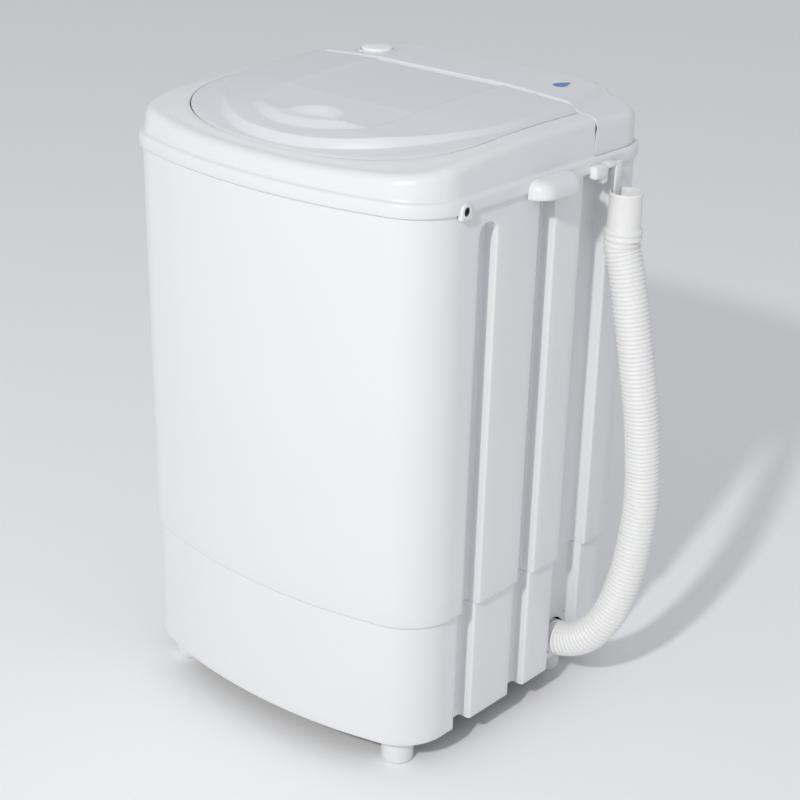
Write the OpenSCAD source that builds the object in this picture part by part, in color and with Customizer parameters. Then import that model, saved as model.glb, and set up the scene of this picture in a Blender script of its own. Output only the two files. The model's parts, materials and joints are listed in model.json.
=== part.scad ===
/* [Cabinet] */
// Width of the cabinet across its flat sides
cabinet_w = 378; // [370:1:386]
// Depth of the cabinet, from the middle of the bowed front to the back
cabinet_d = 364; // [358:1:372]
// How far the middle of the front stands ahead of its two creases
front_bow = 11; // [4:1:16]
// Distance of each front crease from the middle
crease_x = 108; // [96:1:116]
// Radius of the two front corners
front_corner_r = 56; // [50:1:60]
// How far back the front of the upper cabinet slopes by the time it meets the base moulding
front_draft = 7.5; // [6:0.5:8]
// Radius of the two back corners
back_corner_r = 44; // [30:1:50]
// Wall thickness of the cabinet mouldings
wall = 2.5; // [2:0.25:3]

/* [Heights] */
// Height of the feet below the base moulding
foot_h = 31; // [26:1:36]
// Height at which the base moulding ends and the upper cabinet begins
step_z = 160; // [150:1:176]
// Lower edge of the top frame's skirt
skirt_z = 556; // [550:1:560]
// Height of the skirt band
skirt_h = 17; // [14:1:20]
// Highest point of the lid and the control panel
top_z = 623; // [620:1:626]

/* [Side grooves] */
// Depth of the vertical grooves
groove_d = 15; // [10:1:17]
// Start and end of the front groove, along the cabinet's side
groove_front = [-82.5, -58];
// Start and end of the middle groove
groove_mid = [4, 28];
// Start and end of the wide back groove, where the hose comes out
groove_back = [70, 114.5];

/* [Lid] */
// Half width of the lid
lid_a = 166; // [158:1:168]
// Depth of the curved front part of the lid
lid_b = 117; // [110:1:118]
// Fullness of the lid's curved front: 2 is an ellipse, and more is squarer
lid_fullness = 2.4; // [2.2:0.1:2.5]
// Where the curved front part of the lid begins
lid_y = -39.5; // [-42:0.5:-37]
// Line of the seam between the lid and the control panel
seam_y = 87; // [86:0.5:88]
// Radius of the rounded back edge of the lid, about the hinge axis
bead_r = 8; // [7.5:0.5:8]

/* [Wash tub] */
// Outer radius of the tub
tub_r = 146; // [138:1:146]
// Place of the tub's axis, front to back
tub_y = -26; // [-27:1:-25]
// Height of the tub's floor, inside
tub_floor_z = 205; // [203:1:207]
// Radius of the mouth in the top frame
mouth_r = 108; // [98:1:108]

/* [Drive] */
// Radius of the drive shaft
shaft_r = 8; // [7:0.5:9]
// Belt radius of the large pulley
big_pulley_r = 75; // [66:1:76]
// Belt radius of the motor pulley
small_pulley_r = 15; // [12:0.5:15]
// Place of the motor's axis
motor_xy = [-88, 62];
// Radius of the motor's stator
motor_r = 50; // [44:1:52]

/* [Drain] */
// Outer radius of the corrugated drain hose
hose_r = 18; // [15:0.5:18]
// Place of the tub's drain hole
drain_xy = [76, 54];
// Height of the drain line in the base
drain_z = 58; // [56:1:62]

/* [Hidden] */
$fn = 64;
side_x = cabinet_w / 2;
back_y = cabinet_d / 2;
front_y = -cabinet_d / 2;
crease_y = front_y + front_bow;
bow_r = (crease_x * crease_x + front_bow * front_bow) / (2 * front_bow);
corner_lean = 14;
corner_start_x = side_x - front_corner_r * (1 - sin(corner_lean));
corner_start_y = crease_y + (corner_start_x - crease_x) * tan(corner_lean);
corner_y = corner_start_y + front_corner_r * cos(corner_lean);
base_in = -4.5;
base_set_back = front_draft - 2;
lean_end_y = -30;
// The leaning front stands out by this hair's breadth where it joins the upright sides
lean_step = 0.02;
base_floor_x = side_x + base_in - groove_d + 2.5;
base_floor_gap = 2;
band_out = 3;
top_in = -2;
base_rim_z = step_z + 12;
platform_z = skirt_z + skirt_h;
shell_top_z = platform_z - 4;
cover_t = 3;
cover_z = foot_h + 3;
foot_x = 145;
foot_y = 120;
foot_r = 16;
running_gap = 0.05;

// The shoulder that the lid sits in, and the crown of the lid and panel, are arcs seen from the side
shoulder_top = top_z - 12;
shoulder_flat_y = 60;
shoulder_fall = 0.000364;
crown_flat_y = 84;
crown_fall = 0.000734;
crown_curve = 1.85;
ledge_t = 3;
well_drop = 6;
deck_t = 3;
bumper_r = 3;
hinge_y = seam_y - bead_r;
hinge_z = top_z - bead_r;
ear_x = 115;
ear_t = 6;
ear_r = 5;
hinge_pin_r = 2;
channel_x = 80;
channel_d = 1.5;
ramp_y = -40;
lip_y = -114;
lip_centre_y = 51;
lip_in_r = lip_centre_y - lip_y;
lip_z = top_z - 9;
raised_a = 164;
raised_b = 171;
raised_y = 20;
panel_y = seam_y + 0.6;

knob_xy = [-110, 118];
knob_r = 16;
timer_size = [44, 46, 24];
timer_top_z = top_z - 13;

tub_wall = 3;
tub_rim_z = 565;
tub_bottom_z = tub_floor_z - tub_wall;
tub_screw_r = 128;
housing_bore_r = 16;
pulley_z = 116;
belt_h = 9;
motor_top_z = 182;
motor_h = 58;
plate_t = 3;
motor_shaft_r = 6;
mount_xy = [[-104, 4], [-34, 74], [-40, 22]];
pipe_r = 12;
hose_y = 92;
hose_start = [150, 86, drain_z];
cuff_xy = [210, 110];
cuff_z = 494;
cuff_h = 46;

// The drain hose, from the fitting in the base up to the cuff that hangs in the clip
HOSE_ROUTE = [
    hose_start, [160, 90, drain_z], [173, hose_y, drain_z], [189, 92, 60], [205, 93, 67], [219, 95, 79],
    [230, 99, 95], [239, 103, 117], [247, 109, 156], [250, 114, 195], [250, 118, 231], [248, 119, 264],
    [243, 117, 317], [235, 114, 370], [225, 112, 424], [216, 111, 464],
    [cuff_xy[0], cuff_xy[1], cuff_z - 9], [cuff_xy[0], cuff_xy[1], cuff_z - 0.3]
];

// ---------- shapes in plan ----------

// Points of an arc, both ends included
function arc(c, r, from, to, n = 12) =
    [for (i = [0 : n]) let (a = from + (to - from) * i / n) [c[0] + r * cos(a), c[1] + r * sin(a)]];

// Moves the front of an outline back by s, which shortens its straight sides
function set_back(points, s) = [for (p = points) [p[0], p[1] + (p[1] < 0 ? s : 0)]];

// Half of the cabinet's outline, from the middle of the front round to the back, grown outwards by e
function half_outline(e) = concat(
    [for (i = [0 : 5]) let (x = crease_x * i / 6)
        [x, front_y - e + bow_r - sqrt(bow_r * bow_r - x * x)]],
    [[crease_x + e * sin(corner_lean), crease_y - e * cos(corner_lean)]],
    arc([side_x - front_corner_r, corner_y], front_corner_r + e, corner_lean - 90, 0, 14),
    arc([side_x - back_corner_r, back_y - back_corner_r], back_corner_r + e, 0, 90, 12)
);

function flip(points) = [for (i = [len(points) - 1 : -1 : 0]) [-points[i][0], points[i][1]]];

// The cabinet's outline, grown outwards by e, with its front set back by s
module outline(e = 0, s = 0) {
    half = set_back(half_outline(e), s);
    polygon(concat(half, flip(half)));
}

// How far the sloping front of the upper cabinet is set back at height z
function draft(z) = front_draft * (shell_top_z - z) / (shell_top_z - step_z);

// The upper cabinet's outline from one height to another: its front leans back on the way down
module drafted(e, low, high) {
    intersection() {
        translate([-300, -300, low]) cube([600, 300 + lean_end_y, high - low]);
        translate([0, front_y, shell_top_z]) rotate([atan(front_draft / (shell_top_z - step_z)), 0, 0])
            translate([0, -front_y, -500]) linear_extrude(560) intersection() {
                outline(e + lean_step);
                translate([-300, -300]) square([600, 300]);
            }
    }
    translate([0, 0, low]) linear_extrude(high - low) intersection() {
        outline(e);
        translate([-300, lean_end_y - 1]) square([600, 300]);
    }
}

// One vertical groove in plan on the right side; its floor and walls move out by e
module groove_plan(span, floor_x, e = 0)
    translate([floor_x - e, span[0] - e]) square([60, span[1] - span[0] + 2 * e]);

module both_sides() {
    children();
    mirror([1, 0, 0]) children();
}

module through_grooves(floor_x, e = 0) both_sides() {
    groove_plan(groove_mid, floor_x, e);
    groove_plan(groove_back, floor_x, e);
}

module front_grooves(floor_x, e = 0) both_sides() groove_plan(groove_front, floor_x, e);

// The lid's D-shaped outline, grown outwards by e
function fuller(v) = sign(v) * pow(abs(v), 2 / lid_fullness);
function lid_front(e) = [for (a = [180 : 5 : 360])
    [(lid_a + e) * fuller(cos(a)), lid_y + (lid_b + e) * fuller(sin(a))]];

module lid_plan(e = 0, rear = hinge_y)
    polygon(concat(lid_front(e), [[lid_a + e, rear], [-lid_a - e, rear]]));

// The outline of the lid's raised middle, moved in by e
module raised_plan(e) polygon(concat(
    [for (a = [180 : 5 : 360]) [(raised_a - e) * cos(a), raised_y + (raised_b - e) * sin(a)]],
    [[raised_a - e, hinge_y], [e - raised_a, hinge_y]]
));

// ---------- shapes seen from the side or the front ----------

function shoulder(y) = shoulder_top - shoulder_fall * pow(min(y, shoulder_flat_y) - shoulder_flat_y, 2);
function crown(y) = top_z - crown_fall * pow(max(crown_flat_y - y, 0), crown_curve);

// Extrudes a (y, z) shape along X, or an (x, z) shape along Y
module along_x(w) rotate([90, 0, 90]) translate([0, 0, -w / 2]) linear_extrude(w) children();
module along_y(from, to) translate([0, to, 0]) rotate([90, 0, 0]) linear_extrude(to - from) children();

side_steps = [-200 : 10 : 200];

// Everything under the shoulder line, moved up by e
module under_shoulder(e = 0, low = 500)
    polygon(concat([[-200, low]], [for (y = side_steps) [y, shoulder(y) + e]], [[200, low]]));

// Everything under the crown line, moved up by e
module under_crown(e = 0, low = 500)
    polygon(concat([[-200, low]], [for (y = side_steps) [y, crown(y) + e]], [[200, low]]));

// The crown seen from the front, with its falling flanks and bevels, moved up by e
module front_crown(e = 0, low = 500) polygon([
    [-190, low], [-190, shoulder_top + e], [-165, shoulder_top + e], [-153, top_z - 4.3 + e],
    [-channel_x, top_z + e], [channel_x, top_z + e], [153, top_z - 4.3 + e],
    [165, shoulder_top + e], [190, shoulder_top + e], [190, low]
]);

// ---------- swept tubes ----------

function unit(v) = v / norm(v);
function heading(p, i) = unit(p[min(i + 1, len(p) - 1)] - p[max(i - 1, 0)]);

// A closed tube of radius r through the points p
module tube(p, r, sides = 12) {
    rings = [for (i = [0 : len(p) - 1])
        let (t = heading(p, i), u = unit(cross([0, 1, 0], t)), v = cross(t, u))
        for (s = [0 : sides - 1]) p[i] + r * (cos(360 * s / sides) * u + sin(360 * s / sides) * v)];
    last = (len(p) - 1) * sides;
    walls = [for (i = [0 : len(p) - 2], s = [0 : sides - 1]) let (n = (s + 1) % sides)
        [i * sides + s, (i + 1) * sides + s, (i + 1) * sides + n, i * sides + n]];
    start = [for (s = [0 : sides - 1]) s];
    end = [for (s = [sides - 1 : -1 : 0]) last + s];
    polyhedron(rings, concat(walls, [start], [end]));
}

// ---------- fasteners ----------

// A screw that points down, with its head's top at the origin
module screw(r = 2, length = 12, head_r = 4, head_h = 2.4) {
    translate([0, 0, -head_h]) cylinder(r = head_r, h = head_h);
    translate([0, 0, -length]) cylinder(r = r, h = length - head_h + 0.01);
}

// ---------- base ----------

// The base moulding's outline with its grooves; the outline moves by e, its front is set back by s and the
// grooves' floors and walls move by g
module base_plan(e, g, s = base_set_back) difference() {
    outline(e, s);
    through_grooves(base_floor_x, g);
    front_grooves(base_floor_x, g);
}

module base_skirt() color("white") difference() {
    union() {
        translate([0, 0, foot_h]) linear_extrude(step_z - foot_h) base_plan(base_in, 0);
        // the rim that the upper cabinet fits over
        translate([0, 0, step_z - 1]) linear_extrude(base_rim_z - step_z + 1)
            base_plan(-wall - 0.3, base_floor_gap + wall + 0.3, front_draft);
    }
    translate([0, 0, cover_z]) linear_extrude(base_rim_z) base_plan(base_in - wall, wall);
    translate([0, 0, foot_h - 1]) linear_extrude(5) base_plan(-16, wall + 3);
    base_screw_places() translate([0, 0, -10]) cylinder(r = 2, h = 20);
    cabinet_screw_places() cylinder(r = 2, h = 30, center = true);
    hose_hole();
    // vent slots in the back wall
    for (i = [-3 : 3]) translate([i * 22 - 6, back_y - 20, 80]) cube([12, 40, 5]);
    for (i = [-3 : 3]) translate([i * 22 - 6, back_y - 20, 96]) cube([12, 40, 5]);
}

// The way out for the hose, through the floor of the back groove
module hose_hole() translate([140, hose_y, drain_z]) rotate([0, 90, 0]) cylinder(r = hose_r + 2, h = 60);

module base_screw_places() {
    for (p = [[-70, -161], [70, -161], [-70, 170.5], [70, 170.5], [-177, -10], [177, -10]])
        translate([p[0], p[1], foot_h]) children();
}

module bottom_cover() color("gainsboro") difference() {
    translate([0, 0, cover_z]) linear_extrude(cover_t) base_plan(base_in - wall - 0.5, wall + 0.5);
    base_screw_places() translate([0, 0, -10]) cylinder(r = 2, h = 20);
    foot_places() translate([0, 0, -10]) cylinder(r = 2.5, h = 60);
    for (i = [-3 : 3]) translate([i * 16 - 4, -60, cover_z - 1]) cube([8, 90, cover_t + 2]);
}

module base_screws() color("silver") base_screw_places()
    translate([0, 0, -2.2]) mirror([0, 0, 1]) screw(r = 2, length = 10, head_r = 3.6, head_h = 2.2);

module foot_places() for (sx = [-1, 1], sy = [-1, 1]) translate([sx * foot_x, sy * foot_y, 0]) children();

module foot() color("white") rotate_extrude() polygon([
    [2.5, 14], [2.5, cover_z], [foot_r, cover_z], [foot_r, 2.5], [foot_r - 2.5, 0], [7, 0], [6, 14]
]);

module foot_front_left() translate([-foot_x, -foot_y, 0]) foot();
module foot_front_right() translate([foot_x, -foot_y, 0]) foot();
module foot_back_left() translate([-foot_x, foot_y, 0]) foot();
module foot_back_right() translate([foot_x, foot_y, 0]) foot();

module foot_screws() color("silver") foot_places()
    translate([0, 0, 11]) mirror([0, 0, 1]) screw(r = 2.5, length = 32, head_r = 4.8, head_h = 3);

// ---------- upper cabinet ----------

groove_1_top = skirt_z - 11;

// The front groove has a round top end below the skirt
module front_groove_body(e = 0) both_sides() {
    w = groove_front[1] - groove_front[0];
    mid = (groove_front[0] + groove_front[1]) / 2;
    floor_x = side_x - groove_d;
    translate([floor_x - e, groove_front[0] - e, step_z - 30])
        cube([60, w + 2 * e, groove_1_top - w / 2 - step_z + 30]);
    translate([floor_x - e, mid, groove_1_top - w / 2]) rotate([0, 90, 0]) cylinder(r = w / 2 + e, h = 60);
}

module body_shell() color("white") difference() {
    difference() {
        drafted(0, step_z, shell_top_z);
        linear_extrude(700) through_grooves(side_x - groove_d);
        front_groove_body(0);
    }
    difference() {
        drafted(-wall, step_z - 1, shell_top_z + 1);
        linear_extrude(700) through_grooves(side_x - groove_d, wall);
        front_groove_body(wall);
        // the ledge that stands on the base moulding's rim
        translate([0, 0, base_rim_z]) linear_extrude(3) difference() {
            outline(-1, draft(base_rim_z));
            outline(-wall - 3, draft(base_rim_z));
        }
    }
    cabinet_screw_places() cylinder(r = 2, h = 30, center = true);
    frame_screw_places() cylinder(r = 1.6, h = 30, center = true);
    translate([0, back_y, 0]) translate([-130, 0, 110 + step_z]) rotate([90, 0, 0])
        cylinder(r = 8, h = 20, center = true);
}

// Screws at the back join the upper cabinet to the base moulding's rim
module cabinet_screw_places() for (x = [-120, -40, 40, 120])
    translate([x, back_y, step_z + 6]) rotate([-90, 0, 0]) children();

module cabinet_screws() color("silver") cabinet_screw_places()
    translate([0, 0, 2]) screw(r = 2, length = 9, head_r = 3.8, head_h = 2);

// ---------- top frame ----------

tab_y = -108;
tab_screw_z = 7;

// One screw through a tab on each side, and two through the back of the skirt
module frame_screw_places() {
    for (s = [-1, 1]) translate([s * (side_x + band_out + 1), tab_y, skirt_z + tab_screw_z])
        rotate([0, s * 90, 0]) children();
    for (x = [-90, 90]) translate([x, back_y + band_out, skirt_z + 8]) rotate([-90, 0, 0]) children();
}

module frame_screws() color("dimgray") frame_screw_places()
    translate([0, 0, 2]) screw(r = 1.6, length = 11, head_r = 3.4, head_h = 2);

// Tombstone-shaped tab with its round end up, which stands on the lower edge of the skirt
module screw_tab() translate([side_x + 0.4, tab_y, skirt_z + tab_screw_z]) rotate([0, 90, 0])
    linear_extrude(band_out + 0.6) {
        circle(r = 7);
        translate([0, -7]) square([tab_screw_z + 1, 14]);
    }

module tub_screw_places() for (a = [30 : 60 : 330])
    translate([tub_screw_r * cos(a), tub_y + tub_screw_r * sin(a), tub_rim_z]) children();

module hinge_ears() for (s = [-1, 1]) translate([s * ear_x, 0, 0]) {
    translate([0, hinge_y, hinge_z]) rotate([0, 90, 0]) cylinder(r = ear_r, h = ear_t, center = true);
    translate([-ear_t / 2, hinge_y - 3, hinge_z - 16]) cube([ear_t, 6, 16]);
}

module top_frame() color("white") difference() {
    union() {
        difference() {
            union() {
                intersection() {
                    translate([0, 0, skirt_z]) linear_extrude(100) outline(top_in);
                    along_x(500) under_shoulder();
                    translate([-250, -250, skirt_z]) cube([500, 250 + seam_y, 100]);
                }
                translate([0, 0, skirt_z]) linear_extrude(skirt_h) outline(band_out);
            }
            // the hollow under the deck
            intersection() {
                translate([0, 0, skirt_z + 1]) linear_extrude(100) outline(top_in - wall);
                along_x(500) under_shoulder(-well_drop - deck_t);
                translate([-250, -250, skirt_z]) cube([500, 250 + seam_y - 3.5, 100]);
            }
            translate([0, 0, skirt_z]) linear_extrude(skirt_h - 3) outline(top_in - wall);
            // the rebate that takes the top edge of the upper cabinet
            translate([0, 0, skirt_z - 1]) linear_extrude(skirt_h - 2.7) difference() {
                outline(0.4);
                outline(-10);
            }
            // the well that the lid drops into
            intersection() {
                linear_extrude(700) lid_plan(0.6, seam_y - 3.5);
                difference() {
                    translate([-250, -250, 560]) cube([500, 500, 100]);
                    along_x(600) under_shoulder(-well_drop);
                }
            }
            translate([-lid_a - 0.6, hinge_y - 4, hinge_z - bead_r - 1]) cube([2 * lid_a + 1.2, 20, 30]);
        }
        hinge_ears();
        both_sides() screw_tab();
        intersection() {
            tub_screw_places() cylinder(r = 5, h = 60);
            along_x(500) under_shoulder(-well_drop - 1);
        }
        // the splash collar round the mouth
        intersection() {
            translate([0, tub_y, tub_rim_z - 13]) difference() {
                cylinder(r = mouth_r + 2.5, h = 60);
                translate([0, 0, -1]) cylinder(r = mouth_r, h = 62);
            }
            along_x(500) under_shoulder(-well_drop - 1);
        }
    }
    translate([0, tub_y, 500]) cylinder(r = mouth_r, h = 200);
    for (s = [-1, 1]) translate([s * ear_x, hinge_y, hinge_z]) rotate([0, 90, 0])
        cylinder(r = hinge_pin_r + running_gap, h = 30, center = true);
    // the platform under the control panel
    translate([-250, seam_y, platform_z]) cube([500, 200, 100]);
    frame_screw_places() cylinder(r = 1.6, h = 30, center = true);
    tub_screw_places() translate([0, 0, -1]) cylinder(r = 1.6, h = 8.7);
    panel_screw_places() translate([0, 0, -12]) cylinder(r = 1.6, h = 20);
    // wire passage below the timer
    translate([-131, 149, platform_z - 10]) cylinder(r = 14, h = 20);
}

// ---------- carrying handles ----------

handle_y = 12.5;
handle_l = 65;
handle_out = 20;
handle_z = 555;
handle_h = 18;
handle_end_r = 15;

module handle_plan(e = 0) {
    r = handle_end_r + e;
    inner_x = side_x + band_out - 20;
    end_x = side_x + band_out + handle_out - handle_end_r;
    end_y = handle_l / 2 - handle_end_r;
    intersection() {
        translate([side_x + band_out, -100]) square([60, 200]);
        union() {
            for (s = [-1, 1]) translate([end_x, s * end_y]) circle(r = r);
            translate([inner_x, -handle_l / 2 - e]) square([end_x - inner_x, handle_l + 2 * e]);
            translate([inner_x, -end_y]) square([20 + handle_out + e, 2 * end_y]);
        }
    }
}

module carry_handle_right() color("white") translate([0, handle_y, handle_z]) difference() {
    linear_extrude(handle_h) handle_plan();
    translate([0, 0, -1]) linear_extrude(handle_h - 2) difference() {
        handle_plan(-wall);
        translate([side_x, -100]) square([band_out + wall, 200]);
    }
}

module carry_handle_left() mirror([1, 0, 0]) carry_handle_right();

// ---------- control panel ----------

// The raised middle of the panel, which narrows to the back, moved in by e
module panel_crown(e = 0) hull() {
    translate([0, 0, shoulder_top - e - 1]) linear_extrude(1)
        polygon([[-165 + e, panel_y + e], [165 - e, panel_y + e], [140 - e, 179 - e], [-140 + e, 179 - e]]);
    translate([0, 0, top_z - 4.8 - e]) linear_extrude(0.5)
        polygon([[-153 + e, panel_y + e], [153 - e, panel_y + e], [129 - e, 173 - e], [-129 + e, 173 - e]]);
    translate([0, 0, top_z - 0.5 - e]) linear_extrude(0.5)
        polygon([[-80, panel_y + 3 + e], [80, panel_y + 3 + e], [80, 168 - e], [-80, 168 - e]]);
}

module panel_screw_places() for (x = [-165, -60, 60, 165])
    translate([x, x * x > 10000 ? 125 : 165, platform_z]) children();

module panel_outside() {
    intersection() {
        translate([0, 0, platform_z]) linear_extrude(shoulder_top - platform_z) outline(top_in);
        translate([-250, panel_y, 500]) cube([500, 200, 200]);
    }
    panel_crown();
}

module timer_screw_places() for (s = [-1, 1])
    translate([knob_xy[0] + s * 28, knob_xy[1], timer_top_z]) children();

module control_panel() color("white") difference() {
    union() {
        difference() {
            panel_outside();
            intersection() {
                translate([0, 0, platform_z - 1]) linear_extrude(shoulder_top - wall - platform_z + 1)
                    outline(top_in - wall);
                translate([-250, panel_y + wall, 500]) cube([500, 200, 200]);
            }
            panel_crown(wall);
        }
        intersection() {
            union() {
                panel_screw_places() cylinder(r = 4.5, h = 60);
                timer_screw_places() cylinder(r = 4, h = 20);
                translate([knob_xy[0], knob_xy[1], top_z - 7]) cylinder(r = knob_r + 4, h = 10);
            }
            panel_outside();
        }
    }
    // the shallow well round the timer knob
    translate([knob_xy[0], knob_xy[1], top_z - 4.5]) cylinder(r = knob_r + 1.5, h = 10);
    translate([knob_xy[0], knob_xy[1], top_z - 20]) cylinder(r = 5, h = 40);
    timer_screw_places() translate([0, 0, -1]) cylinder(r = 1.3, h = 8);
    panel_screw_places() translate([0, 0, -1]) cylinder(r = 1.6, h = 12);
}

// Screws that come up through the platform into the panel
module panel_screws() color("silver") panel_screw_places()
    translate([0, 0, -5.4]) mirror([0, 0, 1]) screw(r = 1.6, length = 14, head_r = 3.4, head_h = 2.4);

// ---------- lid ----------

module lid_block(inset, low) intersection() {
    hull() {
        tilted_plate(inset, [-147, shoulder(-147) - low], [hinge_y, shoulder_top - low]);
        tilted_plate(5.5 + inset, [-146, top_z - 19.5 - low], [hinge_y, top_z - 4 - low]);
        tilted_plate(36 + inset, [-140, crown(-140) + 4 - low], [hinge_y, top_z + 3 - low]);
    }
    along_x(400) under_crown(-low);
    along_y(-190, 190) front_crown(-low);
}

// A thin plate of the raised middle's outline, moved in by e, tilted to pass through two (y, z) points
module tilted_plate(e, front, rear) {
    a = atan((rear[1] - front[1]) / (rear[0] - front[0]));
    translate([0, rear[0], rear[1]]) rotate([a, 0, 0]) translate([0, -rear[0], -0.5])
        linear_extrude(0.5) raised_plan(e);
}

// The recess in the middle: a shallow channel, then a ramp down behind the finger lip
module lid_recess(e = 0) intersection() {
    linear_extrude(700) intersection() {
        translate([0, lip_centre_y]) circle(r = lip_in_r + e);
        translate([-channel_x - e, -150]) square([2 * channel_x + 2 * e, 150 + seam_y]);
    }
    difference() {
        translate([-100, -160, 560]) cube([200, 260, 100]);
        along_x(400) polygon([
            [-160, 500], [-160, lip_z - 12 - e], [lip_y, lip_z - 7.5 - e],
            [ramp_y, crown(ramp_y) - channel_d - e],
            [10, crown(10) - channel_d - e], [45, crown(45) - channel_d - e],
            [hinge_y, top_z - channel_d - e], [120, top_z - channel_d - e], [120, 500]
        ]);
    }
}

// The raised crescent that a finger pulls on
module finger_lip() intersection() {
    translate([0, 0, 590]) linear_extrude(40) difference() {
        translate([0, -35]) circle(r = 96);
        translate([0, lip_centre_y]) circle(r = lip_in_r);
    }
    translate([0, lip_centre_y, 0]) rotate_extrude() polygon([
        [lip_in_r - 45, 590], [lip_in_r - 45, lip_z], [lip_in_r, lip_z], [lip_in_r + 17, lip_z - 6.5],
        [lip_in_r + 17, 590]
    ]);
}

module finger_bowl(e = 0) translate([0, lip_y + 26, lip_z + 19]) sphere(r = 34 + e);

module lid() color("white") difference() {
    union() {
        difference() {
            union() {
                intersection() {
                    linear_extrude(700) lid_plan();
                    along_x(400) difference() {
                        under_shoulder();
                        under_shoulder(-ledge_t, 400);
                    }
                }
                lid_block(0, 0);
            }
            lid_block(wall, wall);
            intersection() {
                linear_extrude(700) lid_plan(-8 - wall);
                along_x(400) under_shoulder(0, 400);
            }
            lid_recess();
        }
        // the skin under the recess
        intersection() {
            difference() {
                lid_recess(wall);
                lid_recess();
            }
            lid_block(0, 0);
        }
        finger_lip();
        // the bowl behind the lip
        intersection() {
            finger_bowl(wall);
            translate([-50, -150, 500]) cube([100, 150, lip_z - 3 - 500]);
        }
        // the rounded back edge
        intersection() {
            translate([0, hinge_y, hinge_z]) rotate([0, 90, 0])
                cylinder(r = bead_r, h = 2 * lid_a - 2, center = true);
            along_y(-190, 190) front_crown();
        }
    }
    finger_bowl();
    // room for the hinge ears as the lid swings
    for (s = [-1, 1]) translate([s * ear_x, hinge_y, hinge_z]) {
        rotate([0, 90, 0]) cylinder(r = ear_r + 0.8, h = ear_t + 1.6, center = true);
        translate([-ear_t / 2 - 0.8, -4.5, -20]) cube([ear_t + 1.6, 20, 20]);
        translate([-ear_t / 2 - 0.8, 0, -20]) cube([ear_t + 1.6, 20, 24]);
        rotate([0, 90, 0]) cylinder(r = hinge_pin_r, h = 26, center = true);
    }
}

module lid_hinge_pins() color("silver") for (s = [-1, 1])
    translate([s * ear_x, hinge_y, hinge_z]) rotate([0, 90, 0])
        cylinder(r = hinge_pin_r, h = 25, center = true);

// Soft pads under the rim, which the closed lid stands on
module lid_bumpers() color("gray") for (p = [[-104, -134], [104, -134], [-157, -59], [157, -59]]) {
    top = shoulder(p[1]) - ledge_t;
    intersection() {
        translate([p[0], p[1], top - 6]) cylinder(r = bumper_r, h = 12);
        along_x(400) difference() {
            under_shoulder(-ledge_t - 0.3);
            under_shoulder(-well_drop, 400);
        }
    }
}

// ---------- timer ----------

module timer_knob() color("white") translate([knob_xy[0], knob_xy[1], 0]) difference() {
    union() {
        translate([0, 0, top_z - 3.7]) cylinder(r = knob_r, h = 5.7);
        translate([0, 0, top_z + 2]) cylinder(r1 = knob_r, r2 = knob_r - 1.5, h = 1.2);
        // the pointer bar
        translate([-2.5, 0, top_z + 2]) cube([5, knob_r - 3, 2.4]);
    }
    translate([0, 0, top_z - 5]) cylinder(r = 3, h = 6);
}

module timer_shaft() color("silver") translate([knob_xy[0], knob_xy[1], top_z - 30]) cylinder(r = 3, h = 31);

module timer_body() color("lightgray") translate([knob_xy[0], knob_xy[1], 0]) difference() {
    union() {
        translate([-timer_size[0] / 2, -timer_size[1] / 2, timer_top_z - timer_size[2]]) cube(timer_size);
        translate([-34, -10, timer_top_z - 2]) cube([68, 20, 2]);
        translate([0, 0, timer_top_z]) cylinder(r = 8, h = 5);
    }
    translate([0, 0, top_z - 60]) cylinder(r = 3 + running_gap, h = 80);
    for (s = [-1, 1]) translate([s * 28, 0, timer_top_z - 10]) cylinder(r = 1.6, h = 20);
}

module timer_screws() color("silver") timer_screw_places()
    translate([0, 0, -4]) mirror([0, 0, 1]) screw(r = 1.3, length = 10, head_r = 3, head_h = 2);

// ---------- wash tub ----------

module wash_tub() color("ghostwhite") difference() {
    union() {
        translate([0, tub_y, 0]) rotate_extrude() polygon(concat(
            [[20.3, tub_bottom_z]],
            arc([tub_r - 20, tub_bottom_z + 14], 14, -90, 0, 6),
            [[tub_r, tub_rim_z], [tub_r + 5, tub_rim_z], [tub_r + 5, tub_rim_z + 2.5],
             [tub_r - tub_wall, tub_rim_z + 2.5]],
            arc([tub_r - 20, tub_bottom_z + 14], 11, 0, -90, 6),
            [[20.3, tub_floor_z]]
        ));
        // ears inside the rim that hang on the frame's posts
        intersection() {
            translate([0, 0, -2.5]) tub_screw_places() cylinder(r = 16, h = 2.5);
            translate([0, tub_y, 500]) difference() {
                cylinder(r = tub_r - 1, h = 100);
                translate([0, 0, -1]) cylinder(r = tub_r - 34, h = 102);
            }
        }
        motor_mount_places() translate([0, 0, tub_bottom_z - 8]) cylinder(r = 6, h = 8.1);
        // spigot that the drain line is pushed on
        translate([drain_xy[0], drain_xy[1], tub_bottom_z - 16]) cylinder(r = pipe_r - 2, h = 16.1);
    }
    tub_screw_places() translate([0, 0, -10]) cylinder(r = 2, h = 12);
    translate([drain_xy[0], drain_xy[1], tub_bottom_z - 20]) cylinder(r = pipe_r - 4, h = 40);
    housing_bolt_places() cylinder(r = 2.5, h = 20, center = true);
    motor_mount_places() translate([0, 0, tub_bottom_z - 9]) cylinder(r = 2, h = 8);
}

module tub_screws() color("silver") tub_screw_places()
    translate([0, 0, -4.9]) mirror([0, 0, 1]) screw(r = 1.6, length = 12.6, head_r = 4.2, head_h = 2.4);

// Perforated dome over the drain hole
module drain_strainer() color("lightgray") translate([drain_xy[0], drain_xy[1], tub_floor_z]) difference() {
    cylinder(r1 = 13, r2 = 11.5, h = 5);
    translate([0, 0, -1]) cylinder(r = 9.5, h = 4.5);
    for (a = [0 : 45 : 315]) rotate(a) translate([5.8, 0, -1]) cylinder(r = 1.6, h = 10);
    translate([0, 0, -1]) cylinder(r = 1.6, h = 10);
}

// ---------- drain line ----------

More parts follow.
